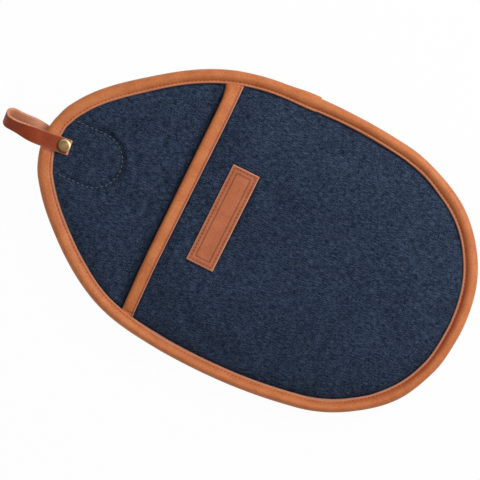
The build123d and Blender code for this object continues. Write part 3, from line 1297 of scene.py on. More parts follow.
    def tail_held(self, x: Array, y: Array) -> Array:
        """Hold the narrow end at the binding, the U-shaped line and the mouth.

        Args:
            x: Places along X.
            y: Places along Y.

        Returns:
            How firmly the cloth is held, from 0 to 1.
        """
        inset = self.outline.locate(x, y)[0]
        free = ease(inset, 11 * MM, 15 * MM) * ease(np.abs(self.tab_gap(x, y)), 1.5 * MM, 5 * MM)
        return 1 - free * ease(x - self.mouth(y), -2 * MM, -10 * MM)

    def swell_up(self) -> None:
        """Run the cloth simulations that puff the pocket and the narrow end."""
        tip, end, side = self.outline.tip_x, self.outline.tip_x + self.outline.length, self.grid_half
        low, high = (self.mouth_x - 10 * MM, -side), (end + 6 * MM, side)
        pocket = PuffTest("pocket_puff", low, high, 4 * MM, 1.6 * MM)
        low, high = (tip - 6 * MM, -side), (self.mouth_x + 4 * MM, side)
        tail = PuffTest("tail_puff", low, high, 3 * MM, 1.2 * MM)
        pocket_swell = pocket.run(partial(self.pocket, rise=self.panel), self.pocket_held)
        self.tail_swell = tail.run(self.base_top, self.tail_held)
        self.pocket_swell = pocket_swell


@dataclass
class BasePad:
    """The padded base: lower and upper denim, the padding between and the rivet's backing."""

    shape: MittShape
    finishes: Finishes
    columns: int = 560
    rim_inset: float = 4.9 * MM
    back_pole_x: float = 20 * MM
    felt_gap: float = 0.1 * MM
    backing_end: float = 3.5 * MM
    backing_gap: float = 0.05 * MM
    backing_thickness: float = 1.0 * MM
    backing_room: float = 1.2 * MM

    def edge(self, inset: float) -> Array:
        """Give the edge of a layer that stops this far inside the mitt's edge.

        Args:
            inset: How far inside.

        Returns:
            X and Y of its points, counter-clockwise.
        """
        whole = self.shape.outline.marks(8 * MM)[-1]
        stations = np.linspace(0, whole, self.columns, endpoint=False)
        return self.shape.outline.at(self.shape.outline.facing(stations, 8 * MM), inset)

    def build(self) -> list[Piece]:
        """Make the base's layers.

        Returns:
            The pieces.
        """
        shape = self.shape
        fine = np.concatenate([np.linspace(0, 0.66, 36), np.linspace(0.67, 0.96, 62), [0.975, 0.99]])
        coarse = np.concatenate([np.linspace(0, 0.16, 9), np.linspace(0.2, 0.96, 14)])
        inside = [np.linspace(0, 0.16, 9), np.linspace(0.2, 0.66, 10), np.linspace(0.68, 0.96, 42)]
        inside = np.concatenate(inside)
        tail_pole, back_pole = (shape.tab_centre_x, 0.0), (self.back_pole_x, 0.0)
        inner = pad_piece(
            "base_inner_denim",
            Slot.DENIM,
            self.edge(self.rim_inset),
            tail_pole,
            (fine, inside),
            (shape.base_top, lifted(shape.base_top, -DENIM)),
            self.finishes.denim,
            shape.tail_painted_shade,
        )
        back = pad_piece(
            "base_back_denim",
            Slot.DENIM,
            self.edge(self.rim_inset),
            back_pole,
            (coarse, np.concatenate([np.linspace(0, 0.3, 26), np.linspace(0.33, 0.97, 20)])),
            (lifted(shape.base_bottom, DENIM), shape.base_bottom),
            self.finishes.denim,
            shape.painted_shade,
        )
        wadding = pad_piece(
            "base_wadding",
            Slot.WADDING,
            self.edge(self.rim_inset + 0.6 * MM),
            tail_pole,
            (inside, coarse),
            (self.felt_top, lifted(shape.base_bottom, DENIM + self.felt_gap)),
            self.finishes.wadding,
        )
        backing = self.backing()
        return [inner, back, wadding, backing]

    def felt_top(self, x: Array, y: Array) -> Array:
        """Give the padding's upper height, lower under the rivet's backing.

        Args:
            x: Places along X.
            y: Places along Y.

        Returns:
            The heights.
        """
        under = 1 - ease(self.shape.tab_gap(x, y), 0.6 * MM, 2.5 * MM)
        reach = 1 - ease(self.shape.rivet[0] - x, 4 * MM, 8 * MM)
        return self.shape.base_top(x, y) - DENIM - self.felt_gap - self.backing_room * under * reach

    def backing(self) -> Piece:
        """Make the stiff backing that the U-shaped stitch line holds under the upper denim.

        Returns:
            The piece.
        """
        shape = self.shape
        start_x = shape.rivet[0] - self.backing_end
        tab, upper = shape.tab_line(start_x, 40, 16)
        across = np.linspace(shape.tab_half, -shape.tab_half, 24)[1:-1]
        end = np.column_stack([np.full(len(across), start_x), across])
        edge = np.concatenate([tab, upper, end, (upper * (1, -1))[::-1]])
        shares = np.linspace(0, 0.95, 14)
        gap = DENIM + self.backing_gap
        return pad_piece(
            "rivet_backing",
            Slot.BACKING,
            edge,
            (shape.tab_centre_x - 2 * MM, 0.0),
            (shares, shares),
            (lifted(shape.base_top, -gap), lifted(shape.base_top, -gap - self.backing_thickness)),
            self.finishes.backing,
        )


@dataclass
class PocketPanel:
    """The domed pocket panel: outer denim, padding and lining."""

    shape: MittShape
    finishes: Finishes
    rim_inset: float = 4.9 * MM
    mouth_columns: int = 190
    edge_columns: int = 610
    mouth_gap: float = 0.1 * MM
    felt_gap: float = 0.05 * MM
    pole_x: float = 62 * MM

    def edge(self, inset: float) -> Array:
        """Give a layer's edge: round the wide end and back along the mouth.

        Args:
            inset: How far inside the mitt's edge the layer stops.

        Returns:
            X and Y of its points, counter-clockwise.
        """
        outline = self.shape.outline
        angles = np.linspace(0, math.pi, 4001)
        reach = []
        for way in (-1, 1):
            flank = outline.at(way * angles, inset)
            past = flank[:, 0] - self.shape.mouth(flank[:, 1]) - self.mouth_gap
            corner = np.interp(0.0, -past, angles)
            reach.append(way * np.interp(corner, np.append(outline.starts, TURN), outline.marks(inset)))
        stations = np.linspace(*reach, self.edge_columns)
        round_end = outline.at(outline.facing(stations, inset), inset)
        back = np.linspace(round_end[-1, 1], round_end[0, 1], self.mouth_columns)[1:-1]
        return np.concatenate([round_end, np.column_stack([self.shape.mouth(back) + self.mouth_gap, back])])

    def build(self) -> list[Piece]:
        """Make the panel's layers.

        Returns:
            The pieces.
        """
        shape = self.shape
        pole = (self.pole_x, 0.0)
        near_edge = [np.linspace(0, 0.04, 4), np.linspace(0.048, 0.15, 18)]
        fine = np.concatenate([*near_edge, np.linspace(0.17, 0.98, 46)])
        coarse = np.concatenate([np.linspace(0, 0.16, 10), np.linspace(0.2, 0.96, 16)])
        felt_top, gap = shape.panel - DENIM, self.felt_gap
        denim = pad_piece(
            "pocket_denim",
            Slot.DENIM,
            self.edge(self.rim_inset),
            pole,
            (fine, coarse),
            (partial(shape.pocket, rise=shape.panel), partial(shape.pocket, rise=felt_top)),
            self.finishes.denim,
            shape.pocket_painted_shade,
        )
        wadding = pad_piece(
            "pocket_wadding",
            Slot.WADDING,
            self.edge(shape.foot_inset + 0.4 * MM),
            pole,
            (coarse, coarse),
            (partial(shape.pocket, rise=felt_top - gap), partial(shape.pocket, rise=LINING + gap)),
            self.finishes.wadding,
        )
        lining = pad_piece(
            "pocket_lining",
            Slot.LINING,
            self.edge(self.rim_inset),
            pole,
            (coarse, coarse),
            (partial(shape.pocket, rise=LINING), partial(shape.pocket, rise=0.02 * MM)),
            self.finishes.lining,
        )
        return [denim, wadding, lining]


@dataclass(frozen=True)
class Stitch:
    """One kind of stitch: from one to the next, the length of each and its thread's thickness."""

    pitch: float
    length: float
    thread: float


@dataclass
class Sewing:
    """Rows of stitches, laid along paths by one tree of geometry nodes."""

    name: str = "stitch_row"
    tree: bpy.types.NodeTree = field(init=False)
    seed: int = 7

    def __post_init__(self) -> None:
        """Build the tree: a path becomes evenly spaced threads that lie along it on the surface."""
        self.tree = bpy.data.node_groups.new(self.name, "GeometryNodeTree")
        kinds = {"Path": "Geometry", "Pitch": "Float", "Stitch Length": "Float", "Thread": "Float"}
        kinds["Finish"] = "Material"
        for label, kind in kinds.items():
            self.tree.interface.new_socket(label, in_out="INPUT", socket_type="NodeSocket" + kind)
        self.tree.interface.new_socket("Stitches", in_out="OUTPUT", socket_type="NodeSocketGeometry")
        bench = Bench(self.tree)
        given = bench.node("NodeGroupInput", None, None, "Path")
        curve = bench.node("GeometryNodeMeshToCurve", None, {"Mesh": given})
        inputs = {"Curve": curve, "Length": given.beside("Pitch")}
        spaced = bench.node("GeometryNodeResampleCurve", {"mode": "LENGTH"}, inputs)
        uneven = self.chance(bench, (0.88, 0.92, 0.92), (1.1, 1.06, 1.06), self.seed + 1)
        inputs = {"Points": spaced, "Instance": self.thread(bench, given), "Rotation": self.turn(bench)}
        sewn = bench.node("GeometryNodeInstanceOnPoints", None, inputs | {"Scale": uneven})
        plain = bench.node("GeometryNodeRealizeInstances", None, {"Geometry": sewn})
        smooth = bench.node("GeometryNodeSetShadeSmooth", None, {"Geometry": plain})
        inputs = {"Geometry": smooth, "Material": given.beside("Finish")}
        dressed = bench.node("GeometryNodeSetMaterial", None, inputs)
        bench.node("NodeGroupOutput", None, {"Stitches": dressed})

    def thread(self, bench: Bench, given: Wire) -> Wire:
        """Make one thread of the given length and thickness.

        Args:
            bench: The tree's bench.
            given: The tree's inputs.

        Returns:
            The thread, lying along X.
        """
        ball = bench.node("GeometryNodeMeshUVSphere", None, {"Segments": 8, "Rings": 5, "Radius": 0.5})
        length, thick = given.beside("Stitch Length"), given.beside("Thread")
        size = bench.node("ShaderNodeCombineXYZ", None, {"X": length, "Y": thick, "Z": thick})
        return bench.node("GeometryNodeTransform", None, {"Geometry": ball, "Scale": size})

    def turn(self, bench: Bench) -> Wire:
        """Turn every thread along its path and onto the surface, each a little astray.

        Args:
            bench: The tree's bench.

        Returns:
            The rotation.
        """
        kind = {"data_type": "FLOAT_VECTOR"}
        facing = bench.node("GeometryNodeInputNamedAttribute", kind, {"Name": "lie"}, "Attribute")
        ahead = {"Vector": bench.node("GeometryNodeInputTangent")}
        along = bench.node("FunctionNodeAlignRotationToVector", {"axis": "X"}, ahead)
        axes, inputs = {"axis": "Z", "pivot_axis": "X"}, {"Rotation": along, "Vector": facing}
        laid = bench.node("FunctionNodeAlignRotationToVector", axes, inputs)
        stray = self.chance(bench, (-0.02, -0.03, -0.09), (0.02, 0.03, 0.09), self.seed)
        twist = bench.node("FunctionNodeEulerToRotation", None, {"Euler": stray})
        return bench.node("FunctionNodeRotateRotation", {"rotation_space": "LOCAL"}, {0: laid, 1: twist})

    def chance(self, bench: Bench, low: Sequence[float], high: Sequence[float], seed: int) -> Wire:
        """Give every stitch its own three values between two limits."""
        inputs = {"Min": low, "Max": high, "Seed": seed}
        return bench.node("FunctionNodeRandomValue", {"data_type": "FLOAT_VECTOR"}, inputs, "Value")

    def row(
        self,
        name: str,
        slot: Slot,
        path: Array,
        facing: Array | Sequence[float],
        stitch: Stitch,
        finish: Material,
        closed: bool = False,
    ) -> Piece:
        """Sew one row on the mitt.

        Args:
            name: The row's name.
            slot: The record's finish of what it is sewn on.
            path: The points that it follows.
            facing: Which way the surface faces, at each point or at all of them.
            stitch: The kind of stitch.
            finish: The thread's finish.
            closed: Whether the path closes on itself.

        Returns:
            The stitches as one plain mesh.
        """
        count = len(path)
        links = [[k, (k + 1) % count] for k in range(count if closed else count - 1)]
        mesh = bpy.data.meshes.new(name + "_path")
        mesh.from_pydata(path.tolist(), links, [])
        lie = mesh.attributes.new("lie", "FLOAT_VECTOR", "POINT")
        facings = np.broadcast_to(facing, path.shape)
        lie.data.foreach_set("vector", np.ascontiguousarray(facings, dtype=np.float32).ravel())
        guide = add_object(name + "_path", mesh)
        modifier = guide.modifiers.new("sewing", "NODES")
        modifier.node_group = self.tree
        values = {"Pitch": stitch.pitch, "Stitch Length": stitch.length, "Thread": stitch.thread}
        values["Finish"] = finish
        for item in self.tree.interface.items_tree:
            if item.in_out == "INPUT" and item.name in values:
                modifier[item.identifier] = values[item.name]
        shown = guide.evaluated_get(bpy.context.evaluated_depsgraph_get())
        sewn = bpy.data.meshes.new_from_object(shown)
        sewn.name = name
        bpy.data.objects.remove(guide)
        bpy.data.meshes.remove(mesh)
        piece = add_object(name, sewn)
        join_body(piece, Body.MITT, slot)
        return piece


@dataclass(frozen=True)
class TapeRun:
    """What changes along the edge binding's tape, with one value for each cross-section."""

    angle: Array
    puff: Array
    sway: Array
    phase: Array
    lap: Array
    lap_end: Array
    wide_end: Array


@dataclass
class EdgeBinding:
    """The leather tape that is folded round the whole edge and lapped over its own start on one flank."""

    shape: MittShape
    finishes: Finishes
    sewing: Sewing
    stitch: Stitch = Stitch(2.7 * MM, 1.75 * MM, 0.5 * MM)
    seam_inset: float = 7.6 * MM
    roll: float = 3.9 * MM
    puff: float = 2.0 * MM
    puff_ripple: float = 0.15 * MM
    tip_puff: float = 0.2 * MM
    back_puff: float = 0.12 * MM
    sway_ripple: float = 0.22 * MM
    groove: float = 0.3 * MM
    pull: float = 0.1 * MM
    lap_from_tip: float = 159 * MM
    lap_fade: float = 24 * MM
    lap_rise: float = 1.05 * MM
    lap_reach: float = 0.81 * MM
    lap_cuts: tuple[float, ...] = (-0.12 * MM, -0.02 * MM, 0.1 * MM, 0.25 * MM)
    per_stitch: int = 4
    # The degrees round the edge, and how much further in the tape's edge lies there, in mm
    sway: Table = (
        (0, 0.6), (28, 0.9), (45, 0.4), (57, 0.25), (70, -0.55), (79, 0.1), (85, -0.4), (92, 0.3), (118, 0.2),
        (136, 0.95), (152, 0.85), (160, 0.5), (170, 1.1), (205, 1.2), (217, 0.8), (236, 0.6), (248, -0.1),
        (263, -0.9), (272, -0.7), (290, -0.9), (305, -0.3), (320, 0.55), (334, -0.1), (346, 0.2),
    )

    @property
    def inset(self) -> Array:
        """Give a cross-section's places, from the tape's inner edge to the mitt's edge.

        Returns:
            How far inside the mitt's edge each lies.
        """
        start = self.shape.binding_width + np.array([0.1, -0.2, -0.5]) * MM
        flat = np.array([8.3, 7.95, 7.6, 7.25, 6.9, 6.5, 6.1, 5.7, 5.3, 4.9, 4.4]) * MM
        rolled = np.array([3.9, 3.3, 2.7, 2.1, 1.6, 1.2, 0.85, 0.55, 0.3, 0.13, 0.03]) * MM
        return np.concatenate([start, flat, rolled])

    def run(self) -> TapeRun:
        """Give what changes along the tape.

        Returns:
            The values, with extra cross-sections at the lap's cut end.
        """
        outline, start = self.shape.outline, self.lap_distance()
        whole = outline.marks(self.seam_inset)[-1]
        stitches = round(whole / self.stitch.pitch)
        even = np.linspace(0, whole, stitches * self.per_stitch, endpoint=False)
        distance = np.sort(np.concatenate([even, start + np.array(self.lap_cuts)]))
        angle = outline.facing(distance, self.seam_inset)
        near_tip = np.exp(-(((angle - math.pi) / 0.85) ** 6))
        puff = self.puff + self.puff_ripple * ripple(distance, 0 * distance, 45 * MM, 21)
        sway = self.sway_ripple * ripple(distance, 0 * distance, 70 * MM, 22)
        lap = ease(distance, start + self.lap_fade, start + 6 * MM)
        return TapeRun(
            angle=angle,
            puff=puff * (1 - near_tip) + self.tip_puff * near_tip,
            sway=sway + round_table(angle, self.sway),
            phase=np.cos(TURN * distance / whole * stitches),
            lap=lap * (distance >= start - 0.05 * MM),
            lap_end=bell(distance - start, 0.16 * MM),
            wide_end=bell(np.mod(angle + 0.05 + math.pi, TURN) - math.pi, 0.95),
        )

    def lap_distance(self) -> float:
        """Give the distance round the seam at which the lap's cut end lies.

        Returns:
            The distance from the wide end.
        """
        outline = self.shape.outline
        angles = np.linspace(0, math.pi, 4001)
        flank = outline.at(angles, self.seam_inset)[:, 0]
        angle = np.interp(-(outline.tip_x + self.lap_from_tip), -flank, angles)
        return float(np.interp(angle, np.append(outline.starts, TURN), outline.marks(self.seam_inset)))

    def top(self, inset: Array, puff: Array) -> Array:
        """Give the tape's height above the middle of the edge.

        Args:
            inset: How far inside the mitt's edge.
            puff: How far the tape stands off the cloth at its crest.

        Returns:
            The height of its outside.
        """
        flat = self.shape.rim_high + LEATHER - self.shape.middle
        crest = flat + puff
        rolled = crest * (1 - np.clip(1 - inset / self.roll, 0, 1) ** 2.2) ** (1 / 2.2)
        fall = np.clip((inset - self.roll) / (self.seam_inset - self.roll), 0, 1)
        level = flat + puff * (1 - fall**1.8)
        groove = self.groove * bell(inset - self.seam_inset, 0.5 * MM)
        return np.where(inset < self.roll, rolled, level) - groove

    def half(self, run: TapeRun, puff: Array, side: int) -> Array:
        """Give the tape's outside on one face of the mitt.

        Args:
            run: What changes along the tape.
            puff: How far it stands off the cloth.
            side: 1 above, -1 below.

        Returns:
            The inset and the height of every point, by place in the cross-section and along the tape.
        """
        shape, inset = self.shape, self.inset[:, None]
        outer = np.linspace(0, 1, len(inset))[:, None]
        height = self.top(inset, puff) - self.pull * bell(inset - self.seam_inset, 0.6 * MM) * run.phase
        height[0] = shape.rim_high + 0.15 * MM - shape.middle
        height[1] -= 0.32 * MM
        grown = self.lap_rise * run.lap * ease(outer, 0.0, 0.06)
        reach = inset + (run.sway + 0.6 * MM * run.lap) * (1 - outer) - 0.85 * grown * ease(outer, 0.55, 0.95)
        height = height + grown * (1 - ease(outer, 0.7, 1.0))
        return np.stack([reach, shape.middle + side * height], -1)

    def marks(self, run: TapeRun) -> dict[str, Array]:
        """Mark where the tape is cut, and where the stitches press it, with painted shade beside them that is
        strongest at the wide end.

        Args:
            run: What changes along the tape.

        Returns:
            The two marks of every point, by place in the cross-section and along the tape.
        """
        from_seam = self.inset - self.seam_inset
        cut_side = np.concatenate([[1, 1, 0.9, 0.35], np.zeros(len(from_seam) - 4)])
        # Pressing at the stitches, which also carries painted shade
        pressing_and_shade_side = bell(from_seam, 0.75 * MM)
        # Painted shade on the tape's slope beside the seam
        shade_side = np.where(from_seam < 0.4 * MM, bell(from_seam, 2.6 * MM), 0.0)
        cut = np.concatenate([cut_side, [0], cut_side[::-1], [1, 0, 0, 1]])[:, None]
        pressing_and_shade = np.concatenate([pressing_and_shade_side, [0], pressing_and_shade_side[::-1], np.zeros(4)])[:, None]
        shade = np.concatenate([shade_side, np.zeros(len(cut) - len(from_seam))])[:, None]
        # Painted highlight: the pale cut lip is brighter at the wide end, which faces the light
        cut = cut * (0.8 + 0.2 * run.phase) * (0.6 + 0.4 * run.wide_end)
        # Painted shade: the darkening by the seam is mostly kept to the wide end, where the slope faces away
        # from the light
        pressing_and_shade = pressing_and_shade * (0.55 + 0.35 * run.phase) * (0.15 + 0.85 * run.wide_end)
        return {
            "cut": np.maximum(cut, 0.15 * run.lap_end),
            "pressing_and_shade": np.maximum(pressing_and_shade, 0.78 * shade * run.wide_end),
        }

    def build(self) -> list[Piece]:
        """Make the tape and its two rows of stitches.

        Returns:
            The pieces.
        """
        shape, run = self.shape, self.run()
        count = len(run.angle)
        back_puff = np.full(count, self.back_puff)
        crest = np.stack([-self.lap_reach * run.lap, np.full(count, shape.middle)], -1)[None]
        under, fold = shape.binding_width - 0.1 * MM, 4.6 * MM
        low, high = shape.rim_low, shape.rim_high
        hidden = np.array([[under, low], [fold, low], [fold, high], [under, high]])
        hidden = np.broadcast_to(hidden[:, None], (4, count, 2))
        section = np.concatenate(
            [self.half(run, run.puff, 1), crest, self.half(run, back_puff, -1)[::-1], hidden]
        )
        points = np.concatenate([shape.outline.at(run.angle[None], section[..., 0]), section[..., 1:]], -1)
        faces = grid_faces(*points.shape[:2], True, True)
        points = points.reshape(-1, 3)
        tape = new_piece("edge_binding_tape", points, faces, self.finishes.binding, self.marks(run))
        join_body(tape, Body.MITT, Slot.BINDING, "edge_binding")
        pieces = [tape]
        seam, thread = np.full(count, self.seam_inset), self.finishes.rust_thread
        for name, side, puff in (("edge_stitches_top", 1, run.puff), ("edge_stitches_back", -1, back_puff)):
            height = self.top(seam, puff) + self.lap_rise * run.lap + 0.04 * MM
            flat = shape.outline.at(run.angle, seam + run.sway)
            path = np.column_stack([flat, shape.middle + side * height])
            pieces.append(self.sewing.row(name, Slot.BINDING, path, (0, 0, side), self.stitch, thread, True))
        return pieces


@dataclass
class MouthBinding:
    """The leather tape that is folded over the pocket's mouth."""

    shape: MittShape
    finishes: Finishes
    sewing: Sewing
    stitch: Stitch = Stitch(2.7 * MM, 1.7 * MM, 0.5 * MM)
    seam: float = 7.5 * MM
    fold_x: float = 2.7 * MM
    groove: float = 0.3 * MM
    swell: float = 0.25 * MM
    proud: float = 1.2 * MM
    columns: int = 300
    fold_rows: int = 25
    flare: float = 2.9 * MM
    flare_run: float = 15 * MM
    ends: tuple[float, float] = field(init=False)

    def __post_init__(self) -> None:
        """Find the tape's two ends, just under the edge binding's inner edge."""
        shape = self.shape
        reach = np.linspace(0, 100 * MM, 2001)
        under = shape.binding_width - 0.7 * MM
        ends = []
        for y in (-reach, reach):
            inset = shape.outline.locate(shape.mouth(y) + 4 * MM, y)[0]
            ends.append(float(np.interp(-under, -inset, y)))
        self.ends = (ends[0], ends[1])

    def build(self) -> list[Piece]:
        """Make the tape and its row of stitches.

        Returns:
            The pieces.
        """
        y = np.linspace(*self.ends, self.columns)
        settled = ease(np.minimum(y - self.ends[0], self.ends[1] - y), 0.0, 5 * MM)
        legs = np.array([8.8, 8.5, 8.2, 7.8, 7.5, 7.2, 6.9, 6.3, 5.5, 4.5, 3.5]) * MM
        leg_rest, fold_rest = np.zeros(len(legs) - 3), np.zeros(self.fold_rows)
        edge_drop = np.concatenate([[1.05, 0.4, 0.08], leg_rest]) * MM
        dip = self.groove * bell(legs - self.seam, 0.6 * MM) - self.swell * bell(legs - 4.2 * MM, 1.6 * MM)
        proud = LEATHER + 0.1 * MM - edge_drop - dip
        outside, inside = (
            [self.skin(y, reach, off, side, settled) for reach, off in zip(legs, proud)] for side in (1, -1)
        )
        turn = np.linspace(0, math.pi, self.fold_rows)
        wraps = self.fold_x - (self.fold_x + self.proud) * np.sin(turn) ** 0.9
        fold = [self.wrap(y, reach, way, settled) for reach, way in zip(wraps, np.cos(turn))]
        corners = ((legs[0], -1), (0.3 * MM, -1), (0.3 * MM, 1), (legs[0], 1))
        hidden = [self.skin(y, reach, 0.02 * MM, side, settled) for reach, side in corners]
        grid = np.stack(outside + fold + inside[::-1] + hidden)
        cut_leg = np.concatenate([[1, 0.9, 0.4], leg_rest])
        # Painted shade in the stitched groove, where the tape is also pressed
        pressing_and_shade_leg = 0.7 * bell(legs - self.seam, 0.7 * MM)
        cut = np.concatenate([cut_leg, fold_rest, cut_leg[::-1], [1, 0, 0, 1]])
        pressing_and_shade = np.concatenate([pressing_and_shade_leg, fold_rest, pressing_and_shade_leg[::-1], np.zeros(4)])
        marks = {"cut": np.repeat(cut[:, None], len(y), 1), "pressing_and_shade": np.repeat(pressing_and_shade[:, None], len(y), 1)}
        starts = np.arange(len(grid)) * self.columns
        faces = grid_faces(*grid.shape[:2], True, False)
        faces += [starts.tolist(), (starts + self.columns - 1)[::-1].tolist()]
        tape = new_piece("mouth_binding_tape", grid.reshape(-1, 3), faces, self.finishes.binding, marks)
        join_body(tape, Body.MITT, Slot.BINDING, "mouth_binding")
        path = self.skin(y, self.seam, LEATHER - 0.16 * MM, 1, settled)[6:-6]
        facing, thread = self.facing(y)[6:-6], self.finishes.rust_thread
        return [tape, self.sewing.row("mouth_stitches", Slot.BINDING, path, facing, self.stitch, thread)]

    def facing(self, y: Array) -> Array:
        """Give the way the panel faces along the mouth, in the plane across the mitt.

        Args:
            y: Places along Y.

        Returns:
            The unit vectors, one row each.
        """
        x, step, panel = self.shape.mouth(y), 0.5 * MM, self.shape.panel
        rise = self.shape.pocket(x, y + step, panel) - self.shape.pocket(x, y - step, panel)
        slope = np.clip(rise / (2 * step), -1.2, 1.2)
        return np.column_stack([0 * y, -slope, np.ones(len(y))]) / np.sqrt(1 + slope**2)[:, None]

    def skin(self, y: Array, reach: float, proud: float, side: int, settled: Array) -> Array:
        """Give a line of points along the tape on the panel's outside or inside.

        Args:
            y: Places across the mitt.
            reach: How far in from the mouth.
            proud: How far off the panel.
            side: 1 outside, -1 inside.
            settled: 1 but for the ends, where the tape is pressed under the edge binding.

        Returns:
            The points.
        """
        x = self.shape.mouth(y) + reach * self.shape.tape_reach(y)
        spread = np.maximum(y - self.ends[1] + self.flare_run, 0) / self.flare_run
        x = x - self.flare * spread**2 * (1 - reach / self.shape.tape_width)
        height = self.shape.pocket(x, y, self.shape.panel if side > 0 else 0.0)
        lift = proud * (0.45 + 0.55 * settled)
        return np.column_stack([x, y, height]) + self.facing(y) * (side * lift)[:, None]

    def wrap(self, y: Array, reach: float, level: float, settled: Array) -> Array:
        """Give a line of points round the fold.

        Args:
            y: Places across the mitt.
            reach: How far in from the mouth.
            level: From 1 at the outside to -1 at the inside.
            settled: 1 but for the pressed ends.

        Returns:
            The points.
        """
        proud = LEATHER + 0.35 * MM
        outside = self.skin(y, reach, proud, 1, settled)
        inside = self.skin(y, reach, proud, -1, settled)
        share = np.sign(level) * abs(level) ** 0.8
        return (outside + inside) / 2 + (outside - inside) / 2 * share


@dataclass
class LabelPatch:
    """The plain leather label on the pocket, with a pressed line frame."""

    shape: MittShape
    finishes: Finishes
    sewing: Sewing
    stitch: Stitch = Stitch(2.55 * MM, 1.45 * MM, 0.6 * MM)
    seam: float = 1.9 * MM
    frame_inset: float = 4.6 * MM
    frame_line: float = 0.42 * MM
    frame_depth: float = 0.22 * MM
    seam_depth: float = 0.16 * MM
    rounding: float = 0.3 * MM
    curl: float = 0.35 * MM
    rows: int = 231
    columns: int = 77

    def place(self, along: Array, across: Array) -> tuple[Array, Array]:
        """Turn places along and across the label into X and Y."""
        c, s = math.cos(self.shape.label_tilt), math.sin(self.shape.label_tilt)
        return self.shape.label[0] + c * across - s * along, self.shape.label[1] + s * across + c * along

    def height(self, x: Array, y: Array) -> Array:
        """Give the pocket's height under the label."""
        return self.shape.pocket(x, y, self.shape.panel)

    def build(self) -> list[Piece]:
        """Make the label and its row of stitches.

        Returns:
            The pieces.
        """
        half_long, half_wide = self.shape.label_length / 2, self.shape.label_width / 2
        along = np.linspace(-half_long, half_long, self.rows)
        across = np.linspace(-half_wide, half_wide, self.columns)
        u, v = np.meshgrid(along, across, indexing="ij")
        from_edge = np.minimum(half_long - np.abs(u), half_wide - np.abs(v))
        x, y = self.place(u, v)
        ground = self.height(x, y)
        pressed = np.exp(-(((from_edge - self.frame_inset) / self.frame_line) ** 4))
        seam = bell(from_edge - self.seam, 0.6 * MM)
        rounded = self.rounding * (1 - ease(from_edge, 0.0, 0.7 * MM))
        curl = self.curl * np.exp(-np.hypot(half_long - np.abs(u), half_wide - np.abs(v)) / (4 * MM))
        top = ground + LEATHER + curl - rounded - self.frame_depth * pressed - self.seam_depth * seam
        under = ground + 0.03 * MM + curl
        points = np.concatenate([np.stack([x, y, z], -1).reshape(-1, 3) for z in (top, under)])
        faces = grid_faces(*u.shape)
        count, rows, columns = u.size, self.rows, self.columns
        rim = list(range(columns))
        rim += [r * columns + columns - 1 for r in range(1, rows)]
        rim += [(rows - 1) * columns + c for c in reversed(range(columns - 1))]
        rim += [r * columns for r in reversed(range(1, rows - 1))]
        faces += [[count + n for n in face[::-1]] for face in faces]
        faces += [[b, a, count + a, count + b] for a, b in zip(rim, rim[1:] + rim[:1])]
        edge = np.clip(1.3 - from_edge / (0.6 * MM), 0, 1).ravel()
        marks = {
            "cut": np.concatenate([edge, edge]),
            # The pressed frame line and the stitch line are darker: pressed leather with painted shade in
            # their grooves
            "pressing_and_shade": np.concatenate([np.maximum(pressed * 0.8, seam * 0.25).ravel(), np.zeros(count)]),
            "flesh": np.concatenate([np.zeros(count), np.ones(count)]),
        }
        label = new_piece("label_patch_leather", points, faces, self.finishes.label, marks)
        join_body(label, Body.MITT, Slot.LABEL, "label_patch")
        inner_long, inner_wide = half_long - self.seam, half_wide - self.seam
        corners = np.array([[-1, -1], [1, -1], [1, 1], [-1, 1], [-1, -1]]) * (inner_long, inner_wide)
        sides = zip(corners[:-1], corners[1:])
        line = np.concatenate([np.linspace(a, b, 60, endpoint=False) for a, b in sides])
        x, y = self.place(line[:, 0], line[:, 1])
        path = np.column_stack([x, y, self.height(x, y) + LEATHER - 0.1 * MM])
        thread = self.finishes.brown_thread
        row = self.sewing.row("label_stitches", Slot.LABEL, path, (0, 0, 1), self.stitch, thread, True)
        return [label, row]


